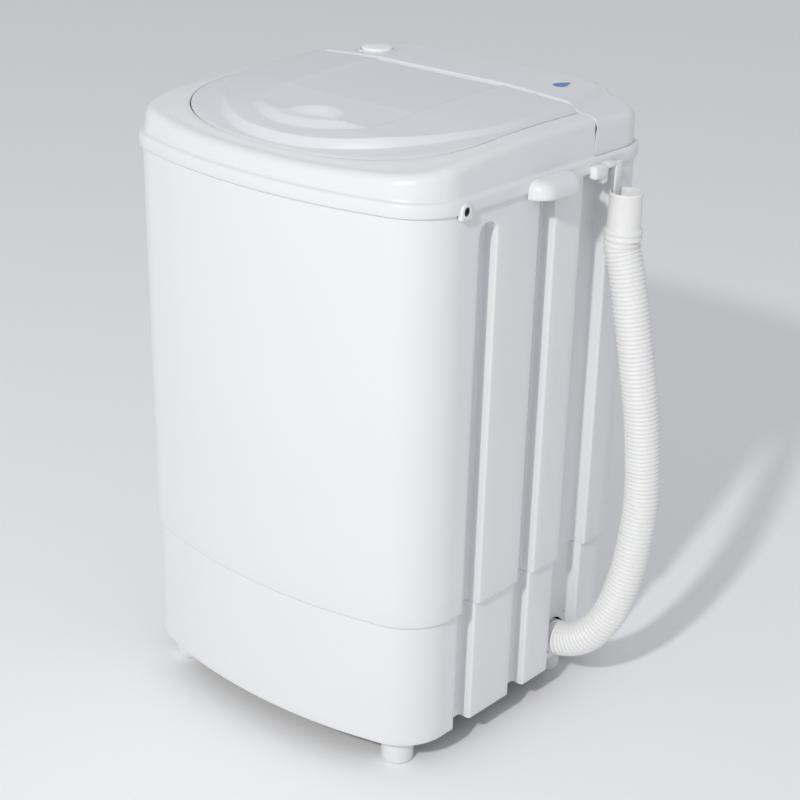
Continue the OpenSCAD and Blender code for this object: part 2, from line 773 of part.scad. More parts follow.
drain_run = [hose_start[0] - drain_xy[0], hose_start[1] - drain_xy[1]];
drain_angle = atan2(drain_run[1], drain_run[0]);

// The drain line: a pipe down from the tub that turns out towards the hose
module drain_path(r, top, reach) translate([drain_xy[0], drain_xy[1], 0]) {
    translate([0, 0, drain_z - r]) cylinder(r = r, h = top - drain_z + r);
    translate([0, 0, drain_z]) rotate([0, 90, drain_angle]) cylinder(r = r, h = reach);
}

module drain_elbow() color("dimgray") difference() {
    drain_path(pipe_r, tub_bottom_z - 0.5, norm(drain_run) - 0.6);
    drain_path(pipe_r - 2, tub_bottom_z + 10, norm(drain_run) + 10);
}

module hose_clamp() color("silver") translate(hose_start) rotate([0, 90, 20])
    translate([0, 0, 2]) difference() {
        cylinder(r = hose_r + 1.8, h = 7);
        translate([0, 0, -1]) cylinder(r = hose_r + 0.5, h = 10);
    }

module drain_hose() color("white") tube(HOSE_ROUTE, hose_r);

// The smooth open end of the hose, with its two collar rings
module hose_cuff() color("white") translate([cuff_xy[0], cuff_xy[1], cuff_z]) rotate_extrude() polygon([
    [13.5, 0], [17.6, 0], [17.6, 4], [16.6, 5], [16.6, 6], [17.6, 7], [17.6, 11], [16, 13],
    [16, cuff_h - 1], [15, cuff_h], [13.5, cuff_h]
]);

// ---------- hose clip ----------

module hose_clip() color("white") translate([side_x + band_out, 0, 0]) {
    // boss on the skirt
    translate([0, 73, skirt_z - 1]) cube([8, 21, 13]);
    // arm along the skirt
    translate([0, 93, skirt_z + 7]) cube([8, 16, 4]);
    // hook that hangs inside the rim of the cuff
    translate([5.7, 105.5, cuff_z + cuff_h - 12]) cube([2.5, 9, skirt_z + 11 - cuff_z - cuff_h + 12]);
}

// ---------- pulsator and its drive ----------

pulsator_r = 92;

module pulsator() color("lightsteelblue") translate([0, tub_y, 0]) difference() {
    union() {
        rotate_extrude() polygon([
            [0, tub_floor_z + 5], [pulsator_r - 8, tub_floor_z + 3], [pulsator_r, tub_floor_z + 5],
            [pulsator_r, tub_floor_z + 10], [pulsator_r - 6, tub_floor_z + 12], [34, tub_floor_z + 16],
            [24, tub_floor_z + 30], [0, tub_floor_z + 34]
        ]);
        for (a = [0 : 72 : 288]) rotate(a) translate([14, 0, tub_floor_z + 20]) rotate([0, 97, 0])
            cylinder(r1 = 10, r2 = 5, h = 70);
    }
    translate([0, 0, tub_floor_z - 1]) cylinder(r = shaft_r, h = 25);
    translate([0, 0, tub_floor_z + 20]) cylinder(r = 3, h = 40);
    translate([0, 0, tub_floor_z + 30]) cylinder(r = 8, h = 20);
    // room under the hub for the bearing housing's neck
    translate([0, 0, tub_floor_z - 1]) cylinder(r = 21.5, h = 8.5);
}

module pulsator_screw() color("silver") translate([0, tub_y, tub_floor_z + 34])
    screw(r = 3, length = 18, head_r = 7, head_h = 4);

module drive_shaft() color("silver") translate([0, tub_y, 0]) difference() {
    translate([0, 0, pulley_z - 26]) cylinder(r = shaft_r, h = tub_floor_z + 24 - pulley_z + 26);
    translate([0, 0, tub_floor_z + 10]) cylinder(r = 3, h = 40);
}

module housing_bolt_places() for (a = [45 : 90 : 315])
    translate([36 * cos(a), tub_y + 36 * sin(a), tub_bottom_z]) children();

module bearing_housing() color("darkgray") difference() {
    translate([0, tub_y, 0]) difference() {
        union() {
            translate([0, 0, 134]) cylinder(r = 22, h = tub_bottom_z - 134);
            translate([0, 0, tub_bottom_z - 6]) cylinder(r = 46, h = 6);
            translate([0, 0, tub_bottom_z - 1]) cylinder(r = 20, h = 7);
            for (a = [0 : 90 : 270]) rotate(a) translate([15, -2, 160]) cube([22, 4, tub_bottom_z - 161]);
        }
        translate([0, 0, 130]) cylinder(r = housing_bore_r, h = 90);
    }
    housing_bolt_places() cylinder(r = 2.5, h = 20, center = true);
}

module sleeve(z, h, inner) translate([0, tub_y, z]) difference() {
    cylinder(r = housing_bore_r, h = h);
    translate([0, 0, -1]) cylinder(r = inner, h = h + 2);
}

module upper_bearing() color("goldenrod") sleeve(178, 18, shaft_r + running_gap);
module lower_bearing() color("goldenrod") sleeve(136, 18, shaft_r + running_gap);
module shaft_seal() color("black") sleeve(tub_bottom_z - 4, 9, shaft_r + running_gap);

module housing_bolts() color("silver") housing_bolt_places()
    translate([0, 0, -8.4]) mirror([0, 0, 1]) screw(r = 2.5, length = 13.4, head_r = 4.6, head_h = 2.4);

// A pulley with a vee groove whose bottom is 0.4 inside the belt
module pulley(r, bore, hub_r) rotate_extrude() polygon([
    [bore, -9], [hub_r, -9], [hub_r, -3], [r - 8, -3], [r - 8, -belt_h / 2 - 2], [r + 4, -belt_h / 2 - 2],
    [r + 4, -belt_h / 2 - 0.6], [r - 3.6, -belt_h / 2 + 1.6], [r - 3.6, belt_h / 2 - 1.6],
    [r + 4, belt_h / 2 + 0.6], [r + 4, belt_h / 2 + 2], [r - 8, belt_h / 2 + 2], [r - 8, 3],
    [hub_r, 3], [hub_r, 9], [bore, 9]
]);

module driven_pulley() color("dimgray") translate([0, tub_y, pulley_z]) difference() {
    pulley(big_pulley_r, shaft_r, 18);
    for (a = [30 : 60 : 330]) rotate(a) translate([44, 0, -20]) cylinder(r = 14, h = 40);
}

module pulley_nut() color("silver") translate([0, tub_y, pulley_z - 18]) difference() {
    cylinder(r = 13, h = 9, $fn = 6);
    translate([0, 0, -1]) cylinder(r = shaft_r, h = 11);
}

// The belt's outline: two arcs joined by their outer tangents
function belt_loop(e) =
    let (d = motor_xy - [0, tub_y], c = norm(d), a = atan2(d[1], d[0]),
         lean = acos((big_pulley_r - small_pulley_r) / c))
    concat(
        arc([0, tub_y], big_pulley_r + e, a + lean, a + 360 - lean, 40),
        arc(motor_xy, small_pulley_r + e, a - lean, a + lean, 14)
    );

module drive_belt() color("black") translate([0, 0, pulley_z - belt_h / 2 + 2.2])
    linear_extrude(belt_h - 4.4) difference() {
        polygon(belt_loop(3.4));
        polygon(belt_loop(-2.8));
    }

// ---------- motor ----------

module at_motor(z = 0) translate([motor_xy[0], motor_xy[1], z]) children();

module motor() color("slategray") at_motor(motor_top_z - motor_h) difference() {
    union() {
        translate([0, 0, 4]) cylinder(r = 40, h = motor_h - 8);
        translate([0, 0, 14]) cylinder(r = motor_r, h = 28);
        cylinder(r = 18, h = motor_h);
        for (a = [45 : 90 : 315]) rotate(a) translate([44, 0, motor_h - 16]) cylinder(r = 6, h = 16);
    }
    translate([0, 0, -1]) cylinder(r = motor_shaft_r + running_gap, h = motor_h + 2);
    for (a = [45 : 90 : 315]) rotate(a) translate([44, 0, motor_h - 12]) cylinder(r = 2.5, h = 20);
}

module motor_shaft() color("silver") at_motor(pulley_z - 12)
    cylinder(r = motor_shaft_r, h = motor_top_z - pulley_z + 6);

module motor_pulley() color("silver") at_motor(pulley_z) rotate_extrude() polygon([
    [motor_shaft_r, -belt_h / 2 - 2], [small_pulley_r + 4, -belt_h / 2 - 2],
    [small_pulley_r + 4, -belt_h / 2 - 0.6], [small_pulley_r - 3.6, -belt_h / 2 + 1.6],
    [small_pulley_r - 3.6, belt_h / 2 - 1.6], [small_pulley_r + 4, belt_h / 2 + 0.6],
    [small_pulley_r + 4, belt_h / 2 + 2], [motor_shaft_r, belt_h / 2 + 2]
]);

// Places where the motor plate hangs from the tub's floor
module motor_mount_places() for (p = mount_xy)
    translate([p[0], p[1], 0]) children();

module motor_plate() color("lightslategray") difference() {
    translate([0, 0, motor_top_z]) linear_extrude(plate_t) union() {
        translate(motor_xy) circle(r = 56);
        for (p = mount_xy) translate(p) circle(r = 12);
    }
    at_motor(motor_top_z - 1) cylinder(r = 20, h = 10);
    at_motor(motor_top_z - 1) for (a = [45 : 90 : 315])
        rotate(a) translate([44, 0, 0]) cylinder(r = 2.5, h = 10);
    motor_mount_places() translate([0, 0, motor_top_z - 1]) cylinder(r = 2, h = 10);
}

module motor_bolts() color("silver") at_motor(motor_top_z + plate_t + 3) for (a = [45 : 90 : 315])
    rotate(a) translate([44, 0, 0]) screw(r = 2.5, length = 17, head_r = 4.6, head_h = 3);

// Rubber rings between the plate and the tub's bosses
module motor_mounts() color("black") motor_mount_places()
    translate([0, 0, motor_top_z + plate_t]) difference() {
        cylinder(r = 6, h = tub_bottom_z - 8 - motor_top_z - plate_t);
        translate([0, 0, -1]) cylinder(r = 2, h = 20);
    }

module mount_screws() color("silver") motor_mount_places()
    translate([0, 0, motor_top_z - 2.4]) mirror([0, 0, 1])
        screw(r = 2, length = 19, head_r = 4, head_h = 2.4);

// ---------- electrics ----------

capacitor_xy = [100, -78];

module capacitor() color("silver") translate([capacitor_xy[0], capacitor_xy[1], cover_z + cover_t]) {
    cylinder(r = 18, h = 66);
    translate([0, 0, 66]) cylinder(r = 15, h = 4);
}

module capacitor_clamp() color("lightslategray")
    translate([capacitor_xy[0], capacitor_xy[1], cover_z + cover_t]) difference() {
        union() {
            translate([0, 0, 20]) cylinder(r = 20, h = 14);
            translate([18, -7, 0]) cube([3, 14, 34]);
            translate([18, -7, 0]) cube([16, 14, 2.5]);
        }
        translate([0, 0, 19]) cylinder(r = 18, h = 16);
        translate([0, 0, -1]) cylinder(r = 18, h = 60);
    }

// Bush in the back wall for the mains lead
module mains_bush() color("black") translate([-130, back_y, 110 + step_z]) rotate([-90, 0, 0]) difference() {
    union() {
        translate([0, 0, -6]) cylinder(r = 8, h = 6);
        cylinder(r = 11, h = 3);
        translate([0, 0, -8]) cylinder(r = 10, h = 2);
        translate([0, 0, -wall - 3]) cylinder(r = 10, h = 3);
    }
    translate([0, 0, -10]) cylinder(r = 4, h = 20);
}

base_skirt();
bottom_cover();
foot_front_left();
foot_front_right();
foot_back_left();
foot_back_right();
foot_screws();
base_screws();
body_shell();
cabinet_screws();
top_frame();
frame_screws();
carry_handle_left();
carry_handle_right();
control_panel();
panel_screws();
lid();
lid_hinge_pins();
lid_bumpers();
timer_knob();
timer_shaft();
timer_body();
timer_screws();
wash_tub();
tub_screws();
drain_strainer();
drain_elbow();
hose_clamp();
drain_hose();
hose_cuff();
hose_clip();
pulsator();
pulsator_screw();
drive_shaft();
bearing_housing();
upper_bearing();
lower_bearing();
shaft_seal();
housing_bolts();
driven_pulley();
pulley_nut();
drive_belt();
motor();
motor_shaft();
motor_pulley();
motor_plate();
motor_bolts();
motor_mounts();
mount_screws();
capacitor();
capacitor_clamp();
mains_bush();
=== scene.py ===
"""A small top load washing machine, built round its CAD frame. Lengths are in metres."""
import math

import bmesh
import bpy
from mathutils import Matrix, Vector
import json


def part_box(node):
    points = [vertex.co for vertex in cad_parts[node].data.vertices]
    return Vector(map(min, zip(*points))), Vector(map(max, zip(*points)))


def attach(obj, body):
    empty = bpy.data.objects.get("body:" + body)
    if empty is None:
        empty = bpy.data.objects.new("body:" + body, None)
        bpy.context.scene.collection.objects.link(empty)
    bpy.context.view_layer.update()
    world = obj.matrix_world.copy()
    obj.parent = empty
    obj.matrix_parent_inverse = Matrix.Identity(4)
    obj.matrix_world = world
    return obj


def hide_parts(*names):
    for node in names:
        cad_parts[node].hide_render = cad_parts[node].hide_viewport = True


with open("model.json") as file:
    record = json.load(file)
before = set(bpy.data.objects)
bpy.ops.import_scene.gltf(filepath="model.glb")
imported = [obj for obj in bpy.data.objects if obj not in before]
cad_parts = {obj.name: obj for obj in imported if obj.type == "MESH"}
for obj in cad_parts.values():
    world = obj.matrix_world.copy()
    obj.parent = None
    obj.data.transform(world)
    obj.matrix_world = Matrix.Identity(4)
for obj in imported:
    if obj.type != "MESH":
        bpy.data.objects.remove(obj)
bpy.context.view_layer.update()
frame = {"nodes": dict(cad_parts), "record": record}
MM = 0.001
for old in list(bpy.data.materials):
    bpy.data.materials.remove(old)

# ---------------------------------------------------------------- dimensions, in mm
SIDE, BACK = 189.0, 182.0
BOW_Y, CREASE_X, CREASE_Y = -182.0, 108.0, -171.5
CORNER_R, CORNER_LEAN, REAR_R = 56.0, 14.0, 44.0
STEP_Z, TOP_Z = 160.0, 623.0
WALL, GROOVE_DEPTH, GROOVE_FILLET = 2.5, 15.0, 2.2
# the front leans back: how far by the base, from what height, and where along the sides it fades out
FRONT_DRAFT, LEAN_TOP_Z, LEAN_END_Y = 7.5, 569.0, -84.7
BASE_IN, BASE_SET_BACK, BASE_RING_TOP = -4.5, 5.5, 159.4
# the shell: where its walls start, the arched top of its front groove, and its hidden upper edge
SHELL_WALL_Z, ARCH_Z, ARCH_H, ARCH_END_Z = 163.4, 532.75, 12.25, 545.3
SHELL_STRAIGHT_Z, SHELL_TOP_Z = 556.0, 568.6
SEAM_Y, HINGE_Y, HINGE_Z = 87.0, 79.0, 615.0
LID_A, LID_B, LID_Y, LID_P = 166.0, 117.0, -39.5, 2.4
TUB_Y, MOUTH_R = -26.0, 108.0
GROOVES = [(-82.5, -58.0), (4.0, 28.0), (70.0, 114.5)]
KNOB = (-110.0, 118.0)


def lerp_table(x, table):
    """Straight-line interpolation in a list of (x, y)."""
    if x <= table[0][0]:
        return table[0][1]
    for (x0, y0), (x1, y1) in zip(table, table[1:]):
        if x <= x1:
            return y0 + (y1 - y0) * (x - x0) / (x1 - x0)
    return table[-1][1]


def smooth(t):
    t = min(1.0, max(0.0, t))
    return t * t * (3 - 2 * t)


# ---------------------------------------------------------------- materials
def plastic(name, color, rough=0.32, bump=0.02, tone=0.03, specular=0.45, sss=0.0):
    """Moulded plastic: a faint mottle in colour and gloss, and the very slight waviness of a moulding."""
    m = bpy.data.materials.new(name)
    m.use_nodes = True
    nt = m.node_tree
    bsdf = nt.nodes["Principled BSDF"]
    geo = nt.nodes.new("ShaderNodeNewGeometry")
    big = nt.nodes.new("ShaderNodeTexNoise")
    big.inputs["Scale"].default_value = 7.0
    big.inputs["Detail"].default_value = 4.0
    fine = nt.nodes.new("ShaderNodeTexNoise")
    fine.inputs["Scale"].default_value = 900.0
    fine.inputs["Detail"].default_value = 2.0
    nt.links.new(geo.outputs["Position"], big.inputs["Vector"])
    nt.links.new(geo.outputs["Position"], fine.inputs["Vector"])
    mix = nt.nodes.new("ShaderNodeMix")
    mix.data_type = "RGBA"
    mix.inputs[6].default_value = (*color, 1)
    mix.inputs[7].default_value = (*[c * (1 - tone) for c in color], 1)
    nt.links.new(big.outputs["Fac"], mix.inputs[0])
    nt.links.new(mix.outputs[2], bsdf.inputs["Base Color"])
    ramp = nt.nodes.new("ShaderNodeMapRange")
    ramp.inputs["To Min"].default_value = rough - 0.04
    ramp.inputs["To Max"].default_value = rough + 0.06
    nt.links.new(big.outputs["Fac"], ramp.inputs["Value"])
    nt.links.new(ramp.outputs["Result"], bsdf.inputs["Roughness"])
    b = nt.nodes.new("ShaderNodeBump")
    b.inputs["Strength"].default_value = bump
    b.inputs["Distance"].default_value = 0.0004
    nt.links.new(fine.outputs["Fac"], b.inputs["Height"])
    nt.links.new(b.outputs["Normal"], bsdf.inputs["Normal"])
    bsdf.inputs["Specular IOR Level"].default_value = specular
    if sss:
        bsdf.inputs["Subsurface Weight"].default_value = sss
        bsdf.inputs["Subsurface Scale"].default_value = 0.002
    return m


def metal(name, color, rough=0.35, stretch=(1, 1, 60)):
    """Bare or plated metal with fine drawn lines in its gloss."""
    m = bpy.data.materials.new(name)
    m.use_nodes = True
    nt = m.node_tree
    bsdf = nt.nodes["Principled BSDF"]
    bsdf.inputs["Metallic"].default_value = 1.0
    geo = nt.nodes.new("ShaderNodeNewGeometry")
    mapping = nt.nodes.new("ShaderNodeMapping")
    mapping.inputs["Scale"].default_value = stretch
    noise = nt.nodes.new("ShaderNodeTexNoise")
    noise.inputs["Scale"].default_value = 60.0
    nt.links.new(geo.outputs["Position"], mapping.inputs["Vector"])
    nt.links.new(mapping.outputs["Vector"], noise.inputs["Vector"])
    mix = nt.nodes.new("ShaderNodeMix")
    mix.data_type = "RGBA"
    mix.inputs[6].default_value = (*color, 1)
    mix.inputs[7].default_value = (*[c * 0.8 for c in color], 1)
    nt.links.new(noise.outputs["Fac"], mix.inputs[0])
    nt.links.new(mix.outputs[2], bsdf.inputs["Base Color"])
    r = nt.nodes.new("ShaderNodeMapRange")
    r.inputs["To Min"].default_value = rough - 0.08
    r.inputs["To Max"].default_value = rough + 0.12
    nt.links.new(noise.outputs["Fac"], r.inputs["Value"])
    nt.links.new(r.outputs["Result"], bsdf.inputs["Roughness"])
    return m


WHITE = plastic("white_plastic", (0.80, 0.81, 0.83))
LID = plastic("lid_plastic", (0.74, 0.755, 0.785), rough=0.33)
KNOB_WHITE = plastic("knob_plastic", (0.93, 0.93, 0.935), rough=0.4)
HOSE = plastic("hose_plastic", (0.84, 0.84, 0.83), rough=0.42, sss=0.15)
TUB = plastic("tub_plastic", (0.82, 0.83, 0.84), rough=0.25)
BLUE = plastic("pulsator_plastic", (0.34, 0.48, 0.67), rough=0.3)
DARK = plastic("dark_plastic", (0.045, 0.05, 0.055), rough=0.5, bump=0.1)
BLACK = plastic("black_rubber", (0.012, 0.012, 0.013), rough=0.7, bump=0.2)
GREY = plastic("grey_rubber", (0.25, 0.26, 0.28), rough=0.7, bump=0.2)
ZINC = metal("zinc_steel", (0.55, 0.56, 0.57), rough=0.36, stretch=(1, 1, 1))
STEEL = metal("shaft_steel", (0.5, 0.51, 0.52), rough=0.3)
CAST = metal("aluminium_cast", (0.45, 0.46, 0.47), rough=0.5, stretch=(1, 1, 1))
BRONZE = metal("bronze", (0.45, 0.27, 0.1), rough=0.4, stretch=(1, 1, 1))
# black screw heads; in the side tabs' wells their black is also painted shade for the deep recess
SCREW_BLACK_AND_SHADE = metal("screw_black_and_painted_shade", (0.05, 0.05, 0.055), rough=0.45, stretch=(1, 1, 1))
ENAMEL = plastic("motor_steel", (0.07, 0.085, 0.105), rough=0.35, bump=0.05)
INK = plastic("dial_print", (0.09, 0.11, 0.16), rough=0.5)
SLOTS = {m.name: m for m in (WHITE, LID, HOSE, TUB, BLUE, DARK, BLACK, GREY, ZINC, STEEL, CAST, BRONZE,
                             ENAMEL)}
for row in frame["record"]["subparts"]:
    node = frame["nodes"][row["node"]]
    node.data.materials.clear()
    node.data.materials.append(SLOTS[row["material_slot"]])
    node.data.set_sharp_from_angle(angle=math.radians(32))
    node.data.shade_smooth()
    node.data.set_sharp_from_angle(angle=math.radians(32))


# ---------------------------------------------------------------- mesh helpers
def build(name, verts, faces, mat, body="cabinet", sharp=38, merge=True):
    """A mesh from points in mm, smooth but for edges sharper than the angle given."""
    me = bpy.data.meshes.new(name)
    me.from_pydata([Vector(v) * MM for v in verts], [], faces)
    if merge:
        bm = bmesh.new()
        bm.from_mesh(me)
        bmesh.ops.remove_doubles(bm, verts=bm.verts, dist=0.00002)
        bmesh.ops.dissolve_degenerate(bm, edges=bm.edges, dist=0.00001)
        bmesh.ops.recalc_face_normals(bm, faces=bm.faces)
        bm.to_mesh(me)
        bm.free()
    me.materials.append(mat)
    me.shade_smooth()
    me.set_sharp_from_angle(angle=math.radians(sharp))
    ob = bpy.data.objects.new(name, me)
    bpy.context.scene.collection.objects.link(ob)
    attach(ob, body)
    return ob


def skin(rings, closed=True, caps=(False, False)):
    """Points and faces of the surface through rings that all have the same number of points."""
    n = len(rings[0])
    verts = [p for ring in rings for p in ring]
    faces = []
    for i in range(len(rings) - 1):
        for j in range(n if closed else n - 1):
            k = (j + 1) % n
            faces.append((i * n + j, i * n + k, (i + 1) * n + k, (i + 1) * n + j))
    if caps[0]:
        faces.append(tuple(range(n - 1, -1, -1)))
    if caps[1]:
        faces.append(tuple((len(rings) - 1) * n + j for j in range(n)))
    return verts, faces


def merge_parts(*parts):
    """Several (points, faces) pairs as one."""
    verts, faces = [], []
    for v, f in parts:
        base = len(verts)
        verts += v
        faces += [tuple(i + base for i in q) for q in f]
    return verts, faces


def lathe(profile, at, n=48, axis="Z"):
    """A turned shape: profile is (radius, height) in mm about a vertical line, or a line along X or Y."""
    rings = []
    for r, h in profile:
        ring = []
        for j in range(n):
            a = 2 * math.pi * j / n
            c, s = r * math.cos(a), r * math.sin(a)
            p = {"Z": (c, s, h), "X": (h, c, s), "Y": (c, h, s)}[axis]
            ring.append((p[0] + at[0], p[1] + at[1], p[2] + at[2]))
        rings.append(ring)
    return skin(rings)


def arc_points(c, r, a0, a1, n):
    """Points on an arc about c, from angle a0 to a1 in degrees."""
    return [(c[0] + r * math.cos(math.radians(a0 + (a1 - a0) * i / n)),
             c[1] + r * math.sin(math.radians(a0 + (a1 - a0) * i / n))) for i in range(n + 1)]


# ---------------------------------------------------------------- cabinet outline
def front_parts():
    """The right half of the cabinet's front outline, and the y at which it meets the side."""
    pts = []
    bow_r = (CREASE_X ** 2 + (CREASE_Y - BOW_Y) ** 2) / (2 * (CREASE_Y - BOW_Y))
    for i in range(15):
        x = (CREASE_X - 4) * i / 14
        pts.append((x, BOW_Y + bow_r - math.sqrt(bow_r ** 2 - x * x)))
    lean = math.radians(CORNER_LEAN)
    sx = SIDE - CORNER_R + CORNER_R * math.sin(lean)
    sy = CREASE_Y + (sx - CREASE_X) * math.tan(lean)
    for i in range(1, 5):
        t = i / 4
        along = (sx - CREASE_X - 4) * t
        pts.append((CREASE_X + 4 + along, CREASE_Y + (4 + along) * math.tan(lean)))
    cy = sy + CORNER_R * math.cos(lean)
    pts += arc_points((SIDE - CORNER_R, cy), CORNER_R, -90 + CORNER_LEAN, 0, 18)[1:]
    return pts, cy


FRONT, SIDE_START = front_parts()


def with_normals(pts):
    """Pairs of each point with the unit normal to the right of the direction of travel."""
    out = []
    for i, p in enumerate(pts):
        a, b = pts[max(i - 1, 0)], pts[min(i + 1, len(pts) - 1)]
        dx, dy = b[0] - a[0], b[1] - a[1]
        n = math.hypot(dx, dy) or 1
        out.append((p, (dy / n, -dx / n)))
    return out


def groove_points(side, floor, y0, r):
    """The outline's dip into one vertical groove at y0, with both edges rounded by r."""
    pts = []
    for i in range(5):
        a = math.pi / 2 * i / 4
        pts.append((side - r * (1 - math.cos(a)), y0 - r + r * math.sin(a)))
    for i in range(5):
        a = math.pi / 2 * i / 4
        pts.append((floor + r * (1 - math.sin(a)), y0 + r * (1 - math.cos(a))))
    return pts


def side_outline(side, floor, grooves, fillet=GROOVE_FILLET):
    """The right side, front corner to back corner. Each groove is (y0, y1, open), open from 0 to 1."""
    pts = []
    last = SIDE_START
    for y0, y1, openness in grooves:
        mid, half = (y0 + y1) / 2, (y1 - y0) / 2 * openness
        r = fillet * min(1.0, openness * 4)
        f = floor if openness > 0 else side
        a, b = mid - half, mid + half
        for i in range(1, 4):
            pts.append((side, last + (y0 - fillet - last) * i / 4))
        first = groove_points(side, f, a, r)
        pts += first
        pts += [(x, a + b - y) for x, y in reversed(first)]
        last = y1 + fillet
    for i in range(1, 4):
        pts.append((side, last + (BACK - REAR_R - last) * i / 4))
    return pts


def ring_at(z, e=0.0, floor_e=0.0, shift=0.0, g1=1.0, widen=0.0):
    """The outline at height z, moved out by e, the front drawn in by shift, the front groove open by g1."""
    front = [(x + nx * e, y + ny * e) for (x, y), (nx, ny) in with_normals(FRONT)]
    openings = [(*GROOVES[0], g1), (*GROOVES[1], 1.0), (*GROOVES[2], 1.0)]
    openings = [(a - widen, b + widen, o) for a, b, o in openings]
    side = side_outline(SIDE + e, SIDE - GROOVE_DEPTH + floor_e, openings)
    rear = arc_points((SIDE - REAR_R, BACK - REAR_R), REAR_R + e, 0, 90, 12)
    rear += [(x, BACK + e) for x in (110, 75, 40, 0)]
    half = front + side + rear
    out = []
    for x, y in half:
        w = min(1.0, max(0.0, (LEAN_END_Y - y) / (LEAN_END_Y - SIDE_START - 0.5)))
        out.append((x, y + shift * w, z))
    return out + [(-x, y, z) for x, y, z in reversed(out[1:-1])]


# ---------------------------------------------------------------- upper cabinet
def shell_shift(z):
    """How far the leaning front stands back at height z."""
    return FRONT_DRAFT * (LEAN_TOP_Z - z) / (LEAN_TOP_Z - STEP_Z)


# (height, outwards, groove floor outwards, groove widened) of the return under the shell's lower edge
RETURN = [(162.5, -10.0, -6.0, 1.4), (160.6, -9.0, -5.0, 1.2), (160.2, -2.2, -2.2, 0.8),
          (160.6, -1.1, -1.1, 0.4), (161.6, -0.4, -0.4, 0.15), (SHELL_WALL_Z, 0.0, 0.0, 0.0)]
rings = []
for z, e, f, wide in RETURN:
    rings.append(ring_at(z, e, f, shell_shift(z), widen=wide))
for i in range(1, 19):
    z = SHELL_WALL_Z + (ARCH_Z - SHELL_WALL_Z) * i / 18
    rings.append(ring_at(z, 0, 0, shell_shift(z)))
for i in range(1, 11):
    a = math.pi / 2 * i / 10
    z = ARCH_Z + ARCH_H * math.sin(a)
    rings.append(ring_at(z, 0, 0, shell_shift(z), g1=max(0.0, math.cos(a))))
rings.append(ring_at(ARCH_END_Z, 0, 0, shell_shift(ARCH_END_Z), g1=0.0))
for z, e in ((SHELL_STRAIGHT_Z, 0), (SHELL_TOP_Z, 0), (SHELL_TOP_Z, -WALL), (SHELL_STRAIGHT_Z, -WALL)):
    rings.append(ring_at(z, e, e, 0, g1=0.0))
shell = build("cabinet_shell", *skin(rings), WHITE)
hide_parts("body_shell")

# ---------------------------------------------------------------- base moulding
# x of the groove floor that the hose comes out of
BASE_FLOOR = 172.0


def base_ring(z, e, f=0.0, widen=0.0):
    """The base moulding's outline, which stands inside that of the upper cabinet."""
    return ring_at(z, BASE_IN + e, -2.0 + f, BASE_SET_BACK, widen=widen)


rings = [base_ring(36, -13, -3), base_ring(31.2, -13, -3), base_ring(31, -11, -2.6),
         base_ring(31, -1.2, -1.2), base_ring(31.4, -0.4, -0.4), base_ring(32.4, 0)]
for z in (37, 79, 110, 140, BASE_RING_TOP):
    rings.append(base_ring(z, 0))
rings += [base_ring(160.2, -0.8, -0.8, 0.7), base_ring(166, -0.8, -0.8, 0.7)]
verts, faces = skin(rings)
# the part of the groove floor between these heights is replaced by a plate with the hose's hole
lo, hi = (37.0, 79.0)
keep = []
for f in faces:
    zs = [verts[i][2] for i in f]
    ys = [verts[i][1] for i in f]
    xs = [verts[i][0] for i in f]
    span = max(ys) - min(ys)
    is_floor = min(xs) > 165 and max(xs) < 174 and span > 30 and min(ys) > 60
    if not (is_floor and abs(min(zs) - lo) < 0.1 and abs(max(zs) - hi) < 0.1):
        keep.append(f)
hole_c, hole_r = (92.0, 58.0), 20.0
y0, y1 = GROOVES[2][0] + GROOVE_FILLET, GROOVES[2][1] - GROOVE_FILLET
outer, inner, deep = [], [], []
for j in range(48):
    a = 2 * math.pi * j / 48
    c, s = math.cos(a), math.sin(a)
    k = min(((y1 if c > 0 else y0) - hole_c[0]) / c if abs(c) > 1e-6 else 1e9,
            ((hi if s > 0 else lo) - hole_c[1]) / s if abs(s) > 1e-6 else 1e9)
    outer.append((BASE_FLOOR, hole_c[0] + c * k, hole_c[1] + s * k))
    inner.append((BASE_FLOOR, hole_c[0] + c * hole_r, hole_c[1] + s * hole_r))
    deep.append((BASE_FLOOR - WALL, hole_c[0] + c * hole_r, hole_c[1] + s * hole_r))
base = build("base_moulding", *merge_parts((verts, keep), skin([outer, inner, deep])), WHITE)
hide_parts("base_skirt")


# ---------------------------------------------------------------- top frame
def shoulder(y):
    """Height of the frame's ledge round the lid at y."""
    return lerp_table(y, [(-185, 591.5), (-156, 594), (-146, 595.6), (-130, 598.4), (-98, 603), (-64, 606.8),
                          (-30, 609.2), (0, 610.4), (40, 611), (200, 611)])


LID_GAP = 1.0


def lid_curve(a, e):
    """A point on the lid's curved front at angle a, grown by e, spread evenly along the superellipse."""
    c, s = math.cos(a), math.sin(a)
    x = (LID_A + e) * math.copysign(abs(c) ** (2 / LID_P), c)
    y = LID_Y + (LID_B + e) * math.copysign(abs(s) ** (2 / LID_P), s)
    return x, y


# the outline of the frame from the right end of the seam round the front to the left end
right = [(SIDE, SEAM_Y + (SIDE_START - SEAM_Y) * i / 26) for i in range(26)] + list(reversed(FRONT))
path = right + [(-x, y) for x, y in reversed(right[:-1])]
path = [(p, (-nx, -ny)) for p, (nx, ny) in with_normals(path)]
lengths = [0.0]
for (a, _), (b, _) in zip(path, path[1:]):
    lengths.append(lengths[-1] + math.hypot(b[0] - a[0], b[1] - a[1]))
# the same fraction of the way round, straight sides matched to straight sides
side_len = SEAM_Y - LID_Y
total = lengths[-1]
dense = [lid_curve(-math.pi * i / 400, LID_GAP) for i in range(401)]
dlen = [0.0]
for a, b in zip(dense, dense[1:]):
    dlen.append(dlen[-1] + math.hypot(b[0] - a[0], b[1] - a[1]))


